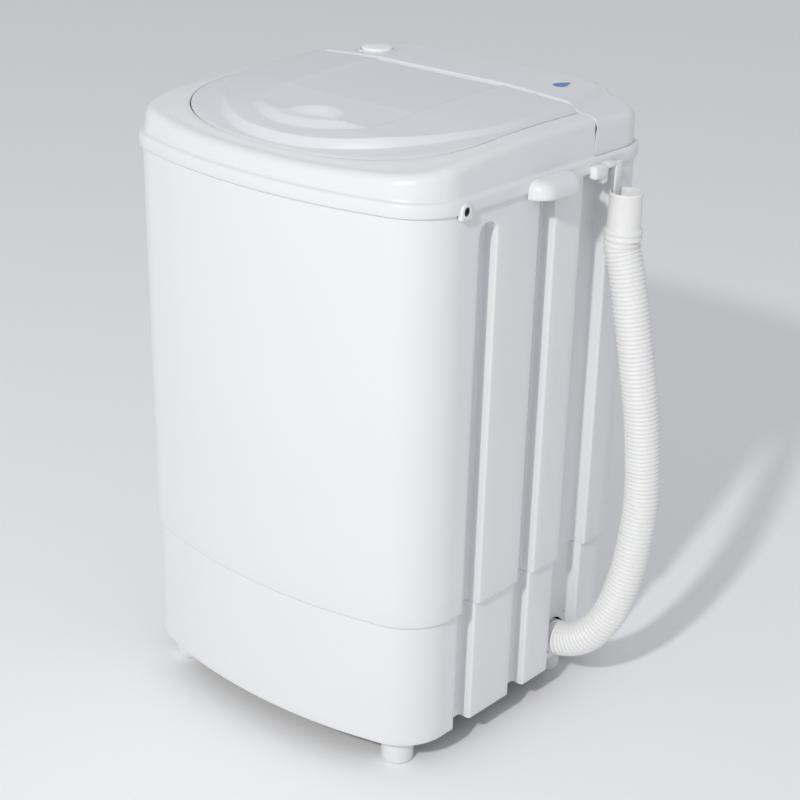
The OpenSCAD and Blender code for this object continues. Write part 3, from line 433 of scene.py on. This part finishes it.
def gap_point(s):
    """The point of the gap round the lid that matches the distance s along the frame's outline."""
    if s < side_len:
        return (LID_A + LID_GAP, SEAM_Y - s)
    if s > total - side_len:
        return (-LID_A - LID_GAP, SEAM_Y - (total - s))
    want = (s - side_len) / (total - 2 * side_len) * dlen[-1]
    for i in range(400):
        if dlen[i + 1] >= want:
            k = (want - dlen[i]) / (dlen[i + 1] - dlen[i])
            (x0, y0), (x1, y1) = dense[i], dense[i + 1]
            return (x0 + (x1 - x0) * k, y0 + (y1 - y0) * k)
    return dense[-1]


# the skirt's band in section, as (outwards, height), and the roll of its upper edge
BAND_TOP_Z = 569.5
BAND_ROLL = [(3.2 - 3.4 * (1 - math.cos(math.pi / 10 * i)), BAND_TOP_Z + 3.6 * math.sin(math.pi / 10 * i))
             for i in range(1, 6)]
FRAME_BAND = [(-WALL, 569), (0.3, 569), (0.3, 561), (0.9, 560.2), (2.0, 560.0), (2.9, 560.3), (3.3, 561.2),
              (3.2, BAND_TOP_Z)] + BAND_ROLL + [(-1.0, 573.3), (-1.7, 574.2), (-2.0, 576)]
FRAME_DRAFT = 1.2
rings = []
for ((px, py), (nx, ny)), s in zip(path, lengths):
    gx, gy = gap_point(s)
    zt = shoulder(gy) - 0.3
    front_w = smooth((-60 - py) / 100)
    rim = zt - 1.2 - 1.6 * front_w
    R = 8.0 + 2.5 * front_w
    ring = []

    def put(e, z):
        ring.append((px + nx * e, py + ny * e, z))

    for out, z in FRAME_BAND:
        put(out, z)
    top_e = -2.0 - FRAME_DRAFT
    put(-2.0 - FRAME_DRAFT * 0.5, (576 + rim - R) / 2)
    put(top_e, rim - R)
    for i in range(1, 9):
        a = math.pi / 2 * i / 8
        put(top_e - R * (1 - math.cos(a)), rim - R + R * math.sin(a))
    ix, iy = px + nx * (top_e - R), py + ny * (top_e - R)
    for i in range(1, 7):
        k = i / 6
        ring.append((ix + (gx - ix) * k * 0.97, iy + (gy - iy) * k * 0.97, rim + (zt - rim) * smooth(k)))
    ring.append((gx + (ix - gx) * 0.012, gy + (iy - gy) * 0.012, zt - 0.15))
    ring.append((gx, gy, zt - 0.8))
    ring.append((gx, gy, zt - 6.2))
    rings.append(ring)
frame_outer = skin(rings, closed=False)

# the well's floor, from the gap in to the mouth, and the collar that hangs down from the mouth
N = 160
well = [[], [], [], [], []]
for j in range(N):
    a = 2 * math.pi * j / N
    c, s = math.cos(a), math.sin(a)
    mx, my = MOUTH_R * c, TUB_Y + MOUTH_R * s
    # walk out from the mouth's middle to the D-shaped wall
    low, high = MOUTH_R, 320.0
    for _ in range(40):
        m = (low + high) / 2
        x, y = m * c, TUB_Y + m * s
        if y > SEAM_Y - 3.5:
            outside = True
        elif y >= LID_Y:
            outside = abs(x) > LID_A + LID_GAP
        else:
            across, along = abs(x) / (LID_A + LID_GAP), abs(y - LID_Y) / (LID_B + LID_GAP)
            outside = across ** LID_P + along ** LID_P > 1
        low, high = (low, m) if outside else (m, high)
    ox, oy = low * c, TUB_Y + low * s
    wz = shoulder(oy) - 6.4
    wi = shoulder(my) - 6.4
    deep_rear = smooth((oy - 60) / 20) * 0.6
    well[0].append((ox, oy, wz - deep_rear))
    well[1].append(((ox + mx) / 2, (oy + my) / 2, (wz + wi) / 2 - deep_rear))
    well[2].append((mx + c * 1.5, my + s * 1.5, wi))
    well[3].append((mx + c * 0.2, my + s * 0.2, wi - 1.2))
    well[4].append((mx, my, 553))
rear_wall = skin([[(x, y, z) for x in (-167, 167)]
                  for y, z in ((SEAM_Y - 3.5, 603.5), (SEAM_Y - 3.5, 607), (SEAM_Y, 607), (SEAM_Y, 574))],
                 closed=False)
# platform under the panel, with the skirt band round the back
rear_half = [(SIDE, SEAM_Y + (BACK - REAR_R - SEAM_Y) * i / 8) for i in range(8)]
rear_half += arc_points((SIDE - REAR_R, BACK - REAR_R), REAR_R, 0, 90, 16)
rear_half += [(x, BACK) for x in (110, 75, 40, 0)]
rear_path = with_normals(rear_half + [(-x, y) for x, y in reversed(rear_half[:-1])])
band = [(-WALL, 569), (0.3, 569), (0.3, 561), (0.9, 560.2), (1.8, 560), (2.6, 560.5), (3.2, 561.6),
        (3.2, BAND_TOP_Z)] + BAND_ROLL + [(-1.0, 573.1), (-6.0, 573.1)]
rings = [[(x + nx * e, y + ny * e, z) for e, z in band] for (x, y), (nx, ny) in rear_path]
# the two ears that carry the lid's pins
EAR_X, EAR_FOOT_Z = 115, 604
ears = []
for s in (-1, 1):
    ear = []
    for k, w in ((-3, 0.85), (-2.6, 1.0), (2.6, 1.0), (3, 0.85)):
        x = s * EAR_X + k
        loop = [(x, HINGE_Y + 3 * w, EAR_FOOT_Z), (x, HINGE_Y + 3.4 * w, HINGE_Z - 3)]
        loop += [(x, HINGE_Y + 5 * w * math.cos(math.radians(a)), HINGE_Z + 5 * w * math.sin(math.radians(a)))
                 for a in range(-20, 201, 20)]
        loop += [(x, HINGE_Y - 3.4 * w, HINGE_Z - 3), (x, HINGE_Y - 3 * w, EAR_FOOT_Z)]
        ear.append(loop)
    ears.append(skin(ear, closed=True, caps=(True, True)))
# the tombstone-shaped tabs, round end up, each with a well for its screw
TAB_Y, TAB_Z, TAB_R = -108.0, 563.0, 7.2
tabs = []
edge = [(TAB_R * math.cos(math.radians(a)), TAB_R * math.sin(math.radians(a))) for a in range(0, 181, 12)]
edge += [(-TAB_R, -3), (-TAB_R, -7.2), (-6.4, -8), (-2.2, -8), (2.2, -8), (6.4, -8), (TAB_R, -7.2),
         (TAB_R, -3)]
for s in (-1, 1):
    tab = [[(s * (SIDE + x), TAB_Y + u * k, TAB_Z + v * k) for u, v in edge]
           for x, k in ((0.2, 1.0), (4.2, 1.0), (4.9, 0.94), (5.1, 0.86))]
    for x, r in ((5.1, 4.5), (4.8, 4.2), (3.4, 4.1)):
        tab.append([(s * (SIDE + x), TAB_Y + r * u / math.hypot(u, v), TAB_Z - 0.6 + r * v / math.hypot(u, v))
                    for u, v in edge])
    tabs.append(skin(tab, caps=(False, True)))
frame_parts = merge_parts(frame_outer, skin(well), rear_wall, skin(rings, closed=False), *ears, *tabs)
top = build("top_frame_moulding", *frame_parts, WHITE)
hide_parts("top_frame")

# ---------------------------------------------------------------- lid
# heights, as (y, z), of the raised middle's edge and of its arched crown
EDGE_TABLE = [(-160, 603.0), (-146, 603.6), (-110, 609.6), (-50, 612.8), (-6, 614.8), (20, 616.0),
              (87, 618.7)]


CROWN_TABLE = [(-150, 603.2), (-116, 609.4), (-84, 613.4), (-40, 617.6), (0, 619.9), (45, 621.8), (87, 623)]
# the raised middle is straight-sided behind this line and half an ellipse in front of it
RAISED_Y, RAISED_A, RAISED_B = 20, 157.0, 166.5
FOOT_A, FOOT_B = 163.5, 171.5


def plateau_width(y):
    """Half width of the raised middle at y."""
    if y >= RAISED_Y:
        return RAISED_A
    q = min(1.0, (RAISED_Y - y) / RAISED_B)
    return RAISED_A * math.sqrt(1 - q * q)


def foot_reach(ox, oy, c, s, reach):
    """Distance along a ray to the foot of the raised middle."""
    low, high = 0.0, reach - 2.0
    for _ in range(30):
        m = (low + high) / 2
        x, y = ox + c * m, oy + s * m
        inside = abs(x) < FOOT_A if y >= RAISED_Y else (x / FOOT_A) ** 2 + ((y - RAISED_Y) / FOOT_B) ** 2 < 1
        low, high = (m, high) if inside else (low, m)
    return low


def plateau_z(x, y):
    """The raised middle without its recess: an arched crown that falls a little to its edges."""
    crown = lerp_table(y, CROWN_TABLE)
    edge = lerp_table(y, EDGE_TABLE)
    w = max(plateau_width(y), 30.0)
    inner = min(80.0, w * 0.55)
    if abs(x) <= inner:
        return crown
    k = min(1.0, (abs(x) - inner) / max(w - inner, 1.0))
    return crown + (edge - crown) * k


# the two circles that bound the lip, the channel between the creases, and the half-moon bowl
LIP_C, LIP_IN = (0.0, 51.0), 165.0
LIP_FRONT, LIP_OUT = (0.0, -35.0), 96.0
CHANNEL_HALF, CHANNEL_D, CREASE_W = 79.5, 1.5, 1.8
BOWL_Y, BOWL_R, BOWL_D = -104, 36.0, 7.0


def lid_z(x, y):
    """Height of the lid's top before the lip is added."""
    z = plateau_z(x, y)
    side = abs(x) - CHANNEL_HALF
    if y > -45:
        return z - CHANNEL_D * smooth(-side / CREASE_W)
    # in front of the transition the floor ramps down to the bowl
    ramp = lerp_table(y, [(-116, 606.0), (-84, 609.8), (-44, 615.6), (-40, 616.2)])
    facet = max(0.0, abs(x) - lerp_table(y, [(-100, 66.0), (-45, 79.0)])) * 0.45
    floor = ramp + facet
    r = math.hypot(x - LIP_C[0], y - LIP_C[1])
    inside = smooth(-side / CREASE_W) * smooth((LIP_IN - r) / 1.2)
    low = min(z, floor)
    q = math.hypot(x, y - BOWL_Y) / BOWL_R
    if q < 1:
        low -= BOWL_D * smooth((1 - q) * 3.2)
    return z + (low - z) * inside


def lip_raise(x, y):
    """Height added by the crescent-shaped lip."""
    inner = math.hypot(x - LIP_C[0], y - LIP_C[1]) - LIP_IN
    outer = LIP_OUT - math.hypot(x - LIP_FRONT[0], y - LIP_FRONT[1])
    if y > -40 or inner < 0 or outer < 0:
        return 0.0
    return min(0.55 * outer, 3.6 + 0.12 * outer) * smooth(inner / 1.2)


def lid_grid():
    """Rays from the middle line to the lid's edge: origin, direction, reach, reach of the raised middle."""
    rays = []
    stations = []
    for i in range(45):
        stations.append((0, HINGE_Y + (LID_Y - HINGE_Y) * i / 44))
    for i in range(1, 220):
        stations.append((1, -math.pi * i / 220))
    for i in range(45):
        stations.append((2, LID_Y + (HINGE_Y - LID_Y) * i / 44))
    for kind, v in stations:
        if kind == 1:
            a = v
            c, s = math.cos(a), math.sin(a)
            # distance from the fan's origin to the superellipse along this ray
            reach = 1 / ((abs(c) / LID_A) ** LID_P + (abs(s) / LID_B) ** LID_P) ** (1 / LID_P)
            ox, oy = 0.0, LID_Y
        else:
            c, s = (1.0, 0.0) if kind == 0 else (-1.0, 0.0)
            reach = LID_A
            ox, oy = 0.0, v
        # distance to the edge of the raised middle
        low, high = 0.0, reach
        for _ in range(30):
            m = (low + high) / 2
            x, y = ox + c * m, oy + s * m
            if y > -146 and abs(x) < plateau_width(y):
                low = m
            else:
                high = m
        rays.append((ox, oy, c, s, reach, low))
    return rays


STEPS = 84
rings = []
for ox, oy, c, s, reach, inner in lid_grid():
    ring = []
    for i in range(STEPS + 1):
        d = inner * i / STEPS
        x, y = ox + c * d, oy + s * d
        ring.append((x, y, lid_z(x, y) + lip_raise(x, y)))
    bx, by = ox + c * inner, oy + s * inner
    zb = lid_z(bx, by)
    ex, ey = ox + c * reach, oy + s * reach
    front_w = smooth((LID_Y - ey) / 60)
    foot = max(foot_reach(ox, oy, c, s, reach), inner + 0.6)
    z_edge = shoulder(ey) + 0.1
    z_foot = max(shoulder(oy + s * foot) + 0.5, z_edge + 0.4)
    for k in (0.03, 0.08, 0.2, 0.4, 0.6, 0.8, 0.92, 0.97, 1.0):
        d = inner + (foot - inner) * k
        # the flank falls gently at first and steeply near the ledge
        fall = k ** (1.0 + 0.25 * front_w)
        z = zb + (z_foot - zb) * fall
        ring.append((ox + c * d, oy + s * d, z))
    for k, drop in ((0.06, 0.1), (0.2, 0.2), (0.45, 0.4), (0.7, 0.65), (0.92, 0.9)):
        d = foot + (reach - foot) * k
        ring.append((ox + c * d, oy + s * d, z_foot + (z_edge - z_foot) * drop))
    ring.append((ex - c * 0.1, ey - s * 0.1, z_edge - 0.4))
    ring.append((ex, ey, z_edge - 1.0))
    ring.append((ex, ey, z_edge - 3.2))
    rings.append(ring)
# the rounded back edge about the hinge line, with a slot for each ear
BEAD_R, SLOT_HALF = 8.0, 4.2
for end, sign in ((rings[0], 1), (rings[-1], -1)):
    extra = []
    for a in (12, 24, 36, 48, 60, 72, 84, 92):
        ring = []
        for x, y, z in end:
            h = max(z - HINGE_Z, -4.0)
            ring.append((x, HINGE_Y + BEAD_R * math.sin(math.radians(a)) * (1.0 if h > 0 else 0.96),
                         HINGE_Z + h * math.cos(math.radians(a)) if h > 0 else z))
        extra.append(ring)
    if sign == 1:
        rings = list(reversed(extra)) + rings
    else:
        rings = rings + extra
verts, faces = skin(rings, closed=False)
kept = []
for f in faces:
    cx = sum(verts[i][0] for i in f) / 4
    cy = sum(verts[i][1] for i in f) / 4
    if abs(abs(cx) - EAR_X) < SLOT_HALF and cy > HINGE_Y + 5.5:
        continue
    kept.append(f)
lid = build("lid_moulding", verts, kept, LID, body="lid", sharp=50)
solid = lid.modifiers.new("thickness", "SOLIDIFY")
solid.thickness = 0.0022
solid.offset = -1.0
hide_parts("lid")


# ---------------------------------------------------------------- control panel
def panel_z(x, y):
    """Height of the panel's top over the plan."""
    k = (y - SEAM_Y) / (180 - SEAM_Y)
    breaks = [(0, 623 - 2 * k), (82 + 8 * k, 623 - 2 * k), (153 - 26 * k, 618.7 - 0.7 * k),
              (165 - 28 * k, 611 + 0.6 * k), (180 - 17 * k, 609.6 - 4.6 * k), (192, 606.6 - 4.0 * k)]
    z = lerp_table(abs(x), breaks)
    # soften the creases by averaging across them
    zs = [lerp_table(abs(abs(x) + d), breaks) for d in (-3.0, -1.5, 1.5, 3.0)]
    return (z * 2 + sum(zs)) / 6


def outline_half_width(y, e):
    """Half width of the cabinet's outline at y, grown by e."""
    if y <= BACK - REAR_R:
        return SIDE + e
    q = min(1.0, (y - (BACK - REAR_R)) / (REAR_R + e))
    return SIDE - REAR_R + (REAR_R + e) * math.sqrt(max(0.0, 1 - q * q))


E_TOP = -2.0
R_EDGE = 9.0
# the panel's front edge stands back from the seam by this, and is rounded by this radius
SEAM_GAP, SEAM_R = 0.5, 1.5
ys = [SEAM_Y + 0.5, SEAM_Y + 0.6, SEAM_Y + 0.8, SEAM_Y + 1.1, SEAM_Y + 1.5, SEAM_Y + 2.0]
ys += [SEAM_Y + 2.0 + (172 - SEAM_Y - 2.0) * i / 30 for i in range(1, 31)]
rows = []
for y in ys:
    w = outline_half_width(y, E_TOP - R_EDGE)
    row = []
    for i in range(121):
        u = -1 + 2 * i / 120
        x = u * w
        z = panel_z(x, y)
        near = y - (SEAM_Y + SEAM_GAP)
        if near < SEAM_R:
            z -= SEAM_R - math.sqrt(max(0.0, SEAM_R ** 2 - (SEAM_R - near) ** 2))
        row.append((x, y, z))
    rows.append(row)
top_sheet = skin(rows, closed=False)
# rounded edge and walls, from the right end of the seam round the back to the left
right_edge = [rows[i][-1] for i in range(len(rows))]
back_edge = list(reversed(rows[-1]))[1:]
left_edge = [rows[i][0] for i in range(len(rows) - 2, -1, -1)]
loop = right_edge + back_edge + left_edge
rings = []
for i, (x, y, z) in enumerate(loop):
    a, b = loop[max(i - 1, 0)], loop[min(i + 1, len(loop) - 1)]
    if y < BACK - REAR_R:
        nx, ny = (1.0 if x > 0 else -1.0), 0.0
    elif abs(x) > SIDE - REAR_R:
        ax, ay = abs(x) - (SIDE - REAR_R), y - (BACK - REAR_R)
        n = math.hypot(ax, ay)
        nx, ny = math.copysign(ax / n, x), ay / n
    else:
        nx, ny = 0.0, 1.0
    # snap to the outline
    if abs(nx) == 1.0:
        ox, oy = math.copysign(SIDE + E_TOP, x), y
    elif ny == 1.0:
        ox, oy = x, BACK + E_TOP
    else:
        ox = math.copysign(SIDE - REAR_R, x) + nx * (REAR_R + E_TOP)
        oy = BACK - REAR_R + ny * (REAR_R + E_TOP)
    ring = [(x, y, z)]
    near = min(1.0, max(0.0, (y - SEAM_Y - SEAM_GAP) / SEAM_R))
    pull = 0.0
    if y <= SEAM_Y + 2.0:
        pull = SEAM_R - math.sqrt(max(0.0, SEAM_R ** 2 - (SEAM_R * (1 - near)) ** 2))
    for k in range(1, 9):
        t = math.pi / 2 * k / 8
        ring.append((x + (ox - x) * math.sin(t), y + (oy - y) * math.sin(t), z - R_EDGE * (1 - math.cos(t))))
    for zz in (592.0, 584.0, 576.0, 573.4):
        ring.append((ox - nx * pull * 0.4, oy - ny * pull * 0.4, min(zz, ring[-1][2] - 0.2)))
    rings.append(ring)
walls = skin(rings, closed=False)
face_rows = [[(x, SEAM_Y + SEAM_GAP, z) for x, _, z in rows[0]],
             [(x, SEAM_Y + SEAM_GAP, 574.0) for x, _, z in rows[0]]]
panel_parts = merge_parts(top_sheet, walls, skin(face_rows, closed=False))
panel = build("panel_moulding", *panel_parts, WHITE, sharp=45)
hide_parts("control_panel")

# ---------------------------------------------------------------- timer knob and its printed scale
kz = TOP_Z
knob_profile = [(3.1, kz - 5), (14.5, kz - 3.7), (15.5, kz - 3.2), (15.9, kz - 2.0), (15.9, kz - 0.2),
                (15.6, kz + 0.7), (14.9, kz + 1.3), (14.0, kz + 1.5), (3.0, kz + 1.5), (0.01, kz + 1.5)]
knob = build("knob", *lathe(knob_profile, (*KNOB, 0), 64), KNOB_WHITE, body="timer_dial", sharp=40)
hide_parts("timer_knob")
bezel = lathe([(19.6, kz - 2.6), (19.2, kz - 1.2), (18.4, kz - 0.9), (17.4, kz - 1.2), (16.9, kz - 2.2),
               (16.9, kz - 4.4)], (*KNOB, 0), 64)
# marks round the knob, every fifth one longer and wider
ticks = []
for i in range(16):
    a = math.radians(110 - 20 * i)
    long = 2.6 if i % 5 == 0 else 1.5
    c, s = math.cos(a), math.sin(a)
    r0, w = 21.4, (0.55 if i % 5 == 0 else 0.32)
    quad = []
    for r, side in ((r0, -w), (r0 + long, -w), (r0 + long, w), (r0, w)):
        x, y = KNOB[0] + c * r - s * side, KNOB[1] + s * r + c * side
        quad.append((x, y, panel_z(x, y) + 0.12))
    ticks.append((quad, [(0, 1, 2, 3)]))
build("timer_bezel", *bezel, WHITE)
build("timer_scale", *merge_parts(*ticks), INK, merge=False)
# a plain drop, printed on the right of the panel
DROP_X, DROP_Y, PRINT_LIFT = 112.0, 136.0, 0.15
drop_verts = [(DROP_X, DROP_Y, panel_z(DROP_X, DROP_Y) + PRINT_LIFT)]
for i in range(40):
    a = 2 * math.pi * i / 40
    x = DROP_X + 9.0 * math.sin(a) * math.sin(a / 2) ** 1.5
    y = DROP_Y + 13.0 * math.cos(a)
    drop_verts.append((x, y, panel_z(x, y) + PRINT_LIFT))
drop = (drop_verts, [(0, 1 + i, 1 + (i + 1) % 40) for i in range(40)])
DROP = plastic("drop_print", (0.10, 0.25, 0.55), rough=0.4)
build("panel_emblem", *drop, DROP, merge=False)

# ---------------------------------------------------------------- carrying handles
def handle(sign):
    """A hollow half capsule: round ends in plan, a rounded top that falls outwards, open underneath."""
    y0, y1, zt, zb = -20.0, 45.0, 571.5, 555.0
    mid, half, reach, end_r = (y0 + y1) / 2, (y1 - y0) / 2, 19.0, 17.0
    rings = []
    n = 48
    for i in range(n + 1):
        v = math.sin((-1 + 2 * i / n) * math.pi / 2)
        y = mid + half * v
        d = max(0.0, abs(v) * half - (half - end_r)) / end_r
        k = math.sqrt(max(0.0, 1 - d * d))
        out = reach * (0.06 + 0.94 * k)
        top = zt - 11.0 * (1 - k) ** 1.4
        h = top - zb
        x = sign * (SIDE + 3.0)
        ring = [(x, y, top + 0.6)]
        for a in range(0, 91, 9):
            t = math.radians(a)
            away = out * 0.30 + out * 0.70 * math.sin(t)
            ring.append((x + sign * away, y, top - h * 0.62 * (1 - math.cos(t))))
        ring.append((x + sign * out, y, zb + h * 0.16))
        ring.append((x + sign * (out - 0.5), y, zb + h * 0.05))
        ring.append((x + sign * max(0.0, out - 1.4), y, zb))
        ring.append((x + sign * max(0.0, out - 2.2), y, zb + 0.3))
        ring.append((x + sign * max(0.0, out - 2.6), y, zb + h * 0.3))
        ring.append((x + sign * max(0.0, out * 0.5 - 1.0), y, top - 3.0 * k))
        ring.append((x + sign * 0.1, y, top - 2.6 * k))
        rings.append(ring)
    return skin(rings, closed=False)


for sign, node in ((1, "carry_handle_right"), (-1, "carry_handle_left")):
    h = build(node + "_grip", *handle(sign), WHITE, sharp=50)
    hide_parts(node)

# ---------------------------------------------------------------- drain hose
# the hose's centreline, from inside the base to its open end
ROUTE = [(150, 86, 58), (160, 90, 58), (173, 92, 58), (189, 92, 60), (205, 93, 67), (219, 95, 79),
         (230, 99, 95), (239, 103, 117), (247, 109, 156), (250, 114, 195), (250, 118, 231), (248, 119, 264),
         (243, 117, 317), (235, 114, 370), (225, 112, 424), (216, 111, 464), (210, 110, 485),
         (210, 110, 493.7)]


def spline(points, step):
    """Evenly spaced points on a smooth curve through the given ones, and the curve's length."""
    dense = []
    for i in range(len(points) - 1):
        p0 = Vector(points[max(i - 1, 0)])
        p1, p2 = Vector(points[i]), Vector(points[i + 1])
        p3 = Vector(points[min(i + 2, len(points) - 1)])
        for k in range(24):
            t = k / 24
            dense.append(0.5 * ((2 * p1) + (p2 - p0) * t + (2 * p0 - 5 * p1 + 4 * p2 - p3) * t * t
                                + (3 * p1 - p0 - 3 * p2 + p3) * t ** 3))
    dense.append(Vector(points[-1]))
    acc = [0.0]
    for a, b in zip(dense, dense[1:]):
        acc.append(acc[-1] + (b - a).length)
    count = max(2, round(acc[-1] / step))
    out, j = [], 0
    for i in range(count + 1):
        want = acc[-1] * i / count
        while j < len(acc) - 2 and acc[j + 1] < want:
            j += 1
        k = (want - acc[j]) / (acc[j + 1] - acc[j])
        out.append(dense[j].lerp(dense[j + 1], min(1.0, max(0.0, k))))
    return out, acc[-1]


# pitch of the corrugations, radii of their roots and crests, and the plain radius at both ends
PITCH, PER_PITCH = 4.3, 6
ROOT_R, RIB, PLAIN_R, AROUND = 16.35, 1.45, 16.6, 28
centre, hose_len = spline(ROUTE, PITCH / PER_PITCH)
rings, side_v = [], Vector((0, 1, 0))
for i, p in enumerate(centre):
    t = (centre[min(i + 1, len(centre) - 1)] - centre[max(i - 1, 0)]).normalized()
    u = side_v.cross(t).normalized()
    v = t.cross(u).normalized()
    side_v = v
    phase = (i % PER_PITCH) / PER_PITCH
    r = ROOT_R + RIB * (0.5 + 0.5 * math.cos(2 * math.pi * phase)) ** 0.7
    if i < 3 or i > len(centre) - 4:
        r = PLAIN_R
    angles = [2 * math.pi * k / AROUND for k in range(AROUND)]
    rings.append([tuple(p + r * (math.cos(a) * u + math.sin(a) * v)) for a in angles])
hose = build("corrugated_hose", *skin(rings, caps=(True, True)), HOSE, sharp=60)
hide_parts("drain_hose")
cuff_at = (210, 110, 494)
cuff_profile = [(13.4, 0.2), (16.6, -1.0), (17.9, 0.0), (18.3, 1.2), (18.3, 3.0), (17.4, 4.0), (17.0, 4.8),
                (17.4, 5.6), (18.3, 6.6), (18.3, 9.0), (17.6, 10.4), (16.5, 11.4), (16.1, 12.6), (15.9, 42.5),
                (16.1, 43.2), (16.1, 45.0), (15.7, 45.8), (14.9, 46.0), (14.2, 45.7), (13.9, 45.0),
                (13.6, 20.0), (13.4, 1.0)]
cuff = build("hose_end_cuff", *lathe(cuff_profile, cuff_at, 48), HOSE, sharp=50)
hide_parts("hose_cuff")


# ---------------------------------------------------------------- hose clip
def block(x0, x1, y0, y1, z0, z1, r=0.9):
    """A small moulded block with its edges rounded off."""
    rings = []
    corners = ((x1 - r, y1 - r, 0), (x0 + r, y1 - r, 90), (x0 + r, y0 + r, 180), (x1 - r, y0 + r, 270))
    levels = ((z0, r), (z0 + r * 0.3, r * 0.3), (z0 + r, 0), (z1 - r, 0), (z1 - r * 0.3, r * 0.3), (z1, r))
    for z, k in levels:
        ring = []
        for cx, cy, a0 in corners:
            for i in range(4):
                a = math.radians(a0 + 30 * i)
                ring.append((cx + (r - k * 0.7) * math.cos(a), cy + (r - k * 0.7) * math.sin(a), z))
        rings.append(ring)
    return skin(rings, caps=(True, True))


clip = merge_parts(block(191.5, 200, 73, 94, 555.2, 567.4, 2.4),
                   block(191.5, 200, 91.5, 108, 563, 567.8, 1.6),
                   block(197.7, 200.1, 105.6, 114.4, 528, 567.6, 0.8),
                   block(191.5, 198, 87.5, 96, 549, 556, 1.4))
clip_ob = build("hose_hook", *clip, HOSE, sharp=45)
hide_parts("hose_clip")


# ---------------------------------------------------------------- screws with cross recesses
def screw_head(at, axis, r, h):
    """A pan head with a cross recess. axis is the unit direction that the head faces."""
    ax = Vector(axis)
    u = Vector((0, 0, 1)) if abs(ax.z) < 0.9 else Vector((1, 0, 0))
    v = ax.cross(u).normalized()
    u = v.cross(ax).normalized()
    o = Vector(at)
    n = 32
    rings = []

    def on_axis(height, radius, j):
        a = 2 * math.pi * j / n
        return tuple(o + ax * height + u * (radius * math.cos(a)) + v * (radius * math.sin(a)))

    for rr, hh in ((r, 0), (r, h * 0.45), (r * 0.88, h * 0.8), (r * 0.66, h)):
        rings.append([on_axis(hh, rr, j) for j in range(n)])

    def cross(j):
        a = 2 * math.pi * j / n
        c = abs(math.cos(2 * a)) ** 3
        return r * (0.16 + 0.38 * c)

    for hh, k in ((h, 1.0), (h * 0.35, 0.85)):
        rings.append([on_axis(hh, cross(j) * k, j) for j in range(n)])
    return skin(rings, caps=(False, True))


# the side tabs' screw heads fill their wells, and their black is painted shade for the deep recess
heads = [screw_head((s * (SIDE + 3.45), TAB_Y, TAB_Z - 0.6), (s, 0, 0), 3.7, 1.0) for s in (-1, 1)]
heads += [screw_head((x, BACK + 3.2, 564), (0, 1, 0), 3.6, 1.9) for x in (-90, 90)]
screws = build("frame_screw_heads", *merge_parts(*heads), SCREW_BLACK_AND_SHADE, sharp=35)
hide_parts("frame_screws")
heads = [screw_head((x, BACK, 166), (0, 1, 0), 3.8, 1.9) for x in (-120, -40, 40, 120)]
screws = build("cabinet_screw_heads", *merge_parts(*heads), ZINC, sharp=35)
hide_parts("cabinet_screws")

# ---------------------------------------------------------------- feet
for node in ("foot_front_left", "foot_front_right", "foot_back_left", "foot_back_right"):
    lo_c, hi_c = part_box(node)
    at = ((lo_c.x + hi_c.x) / 2 / MM, (lo_c.y + hi_c.y) / 2 / MM, 0.0)
    profile = [(2.6, 14), (6.0, 13.6), (7.0, 0.6), (7.6, 0.1), (13.2, 0.0), (14.6, 0.6), (15.5, 1.8),
               (15.9, 3.4), (16.0, 5.0), (16.0, 33.8), (2.6, 33.8)]
    f = build(node + "_foot", *lathe(profile, at, 48), WHITE, sharp=40)
    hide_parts(node)

# ---------------------------------------------------------------- floor, light and camera
FLOOR_HALF = 6
floor_me = bpy.data.meshes.new("floor")
corners = [(x * FLOOR_HALF, y * FLOOR_HALF, 0) for x, y in ((-1, -1), (1, -1), (1, 1), (-1, 1))]
floor_me.from_pydata(corners, [], [(0, 1, 2, 3)])
floor_mat = plastic("floor_paint", (0.97, 0.97, 0.97), rough=0.85, bump=0.01, tone=0.015, specular=0.1)
floor_me.materials.append(floor_mat)
floor = bpy.data.objects.new("floor", floor_me)
bpy.context.scene.collection.objects.link(floor)

world = bpy.data.worlds.new("studio")
world.use_nodes = True
world.node_tree.nodes["Background"].inputs["Color"].default_value = (0.93, 0.95, 1.0, 1)
world.node_tree.nodes["Background"].inputs["Strength"].default_value = 0.56
bpy.context.scene.world = world
bpy.context.scene.view_settings.view_transform = "Standard"


def area_light(name, at, towards, size, power, color):
    """A round soft light at one point, aimed at another."""
    data = bpy.data.lights.new(name, "AREA")
    data.shape = "DISK"
    data.size = size
    data.energy = power
    data.color = color
    ob = bpy.data.objects.new(name, data)
    ob.location = at
    ob.rotation_euler = (Vector(towards) - Vector(at)).to_track_quat("-Z", "Y").to_euler()
    bpy.context.scene.collection.objects.link(ob)


area_light("key", (1.05, -3.2, 2.5), (0, 0, 0.35), 0.22, 74, (1.0, 0.985, 0.96))

CAMERA_AT = (1.1174, -1.2869, 1.0145)
cam_data = bpy.data.cameras.new("camera")
cam_data.sensor_width = 36.0
cam_data.lens = 82.36
az, el, roll = math.radians(40.09), math.radians(22.73), math.radians(1.74)
fwd = Vector((-math.sin(az) * math.cos(el), math.cos(az) * math.cos(el), -math.sin(el)))
right0 = Vector((math.cos(az), math.sin(az), 0))
up0 = right0.cross(fwd)
right_v = right0 * math.cos(roll) + up0 * math.sin(roll)
up_v = up0 * math.cos(roll) - right0 * math.sin(roll)
cam = bpy.data.objects.new("camera", cam_data)
rot = Matrix((right_v, up_v, -fwd)).transposed().to_4x4()
cam.matrix_world = Matrix.Translation(CAMERA_AT) @ rot
bpy.context.scene.collection.objects.link(cam)
bpy.context.scene.camera = cam
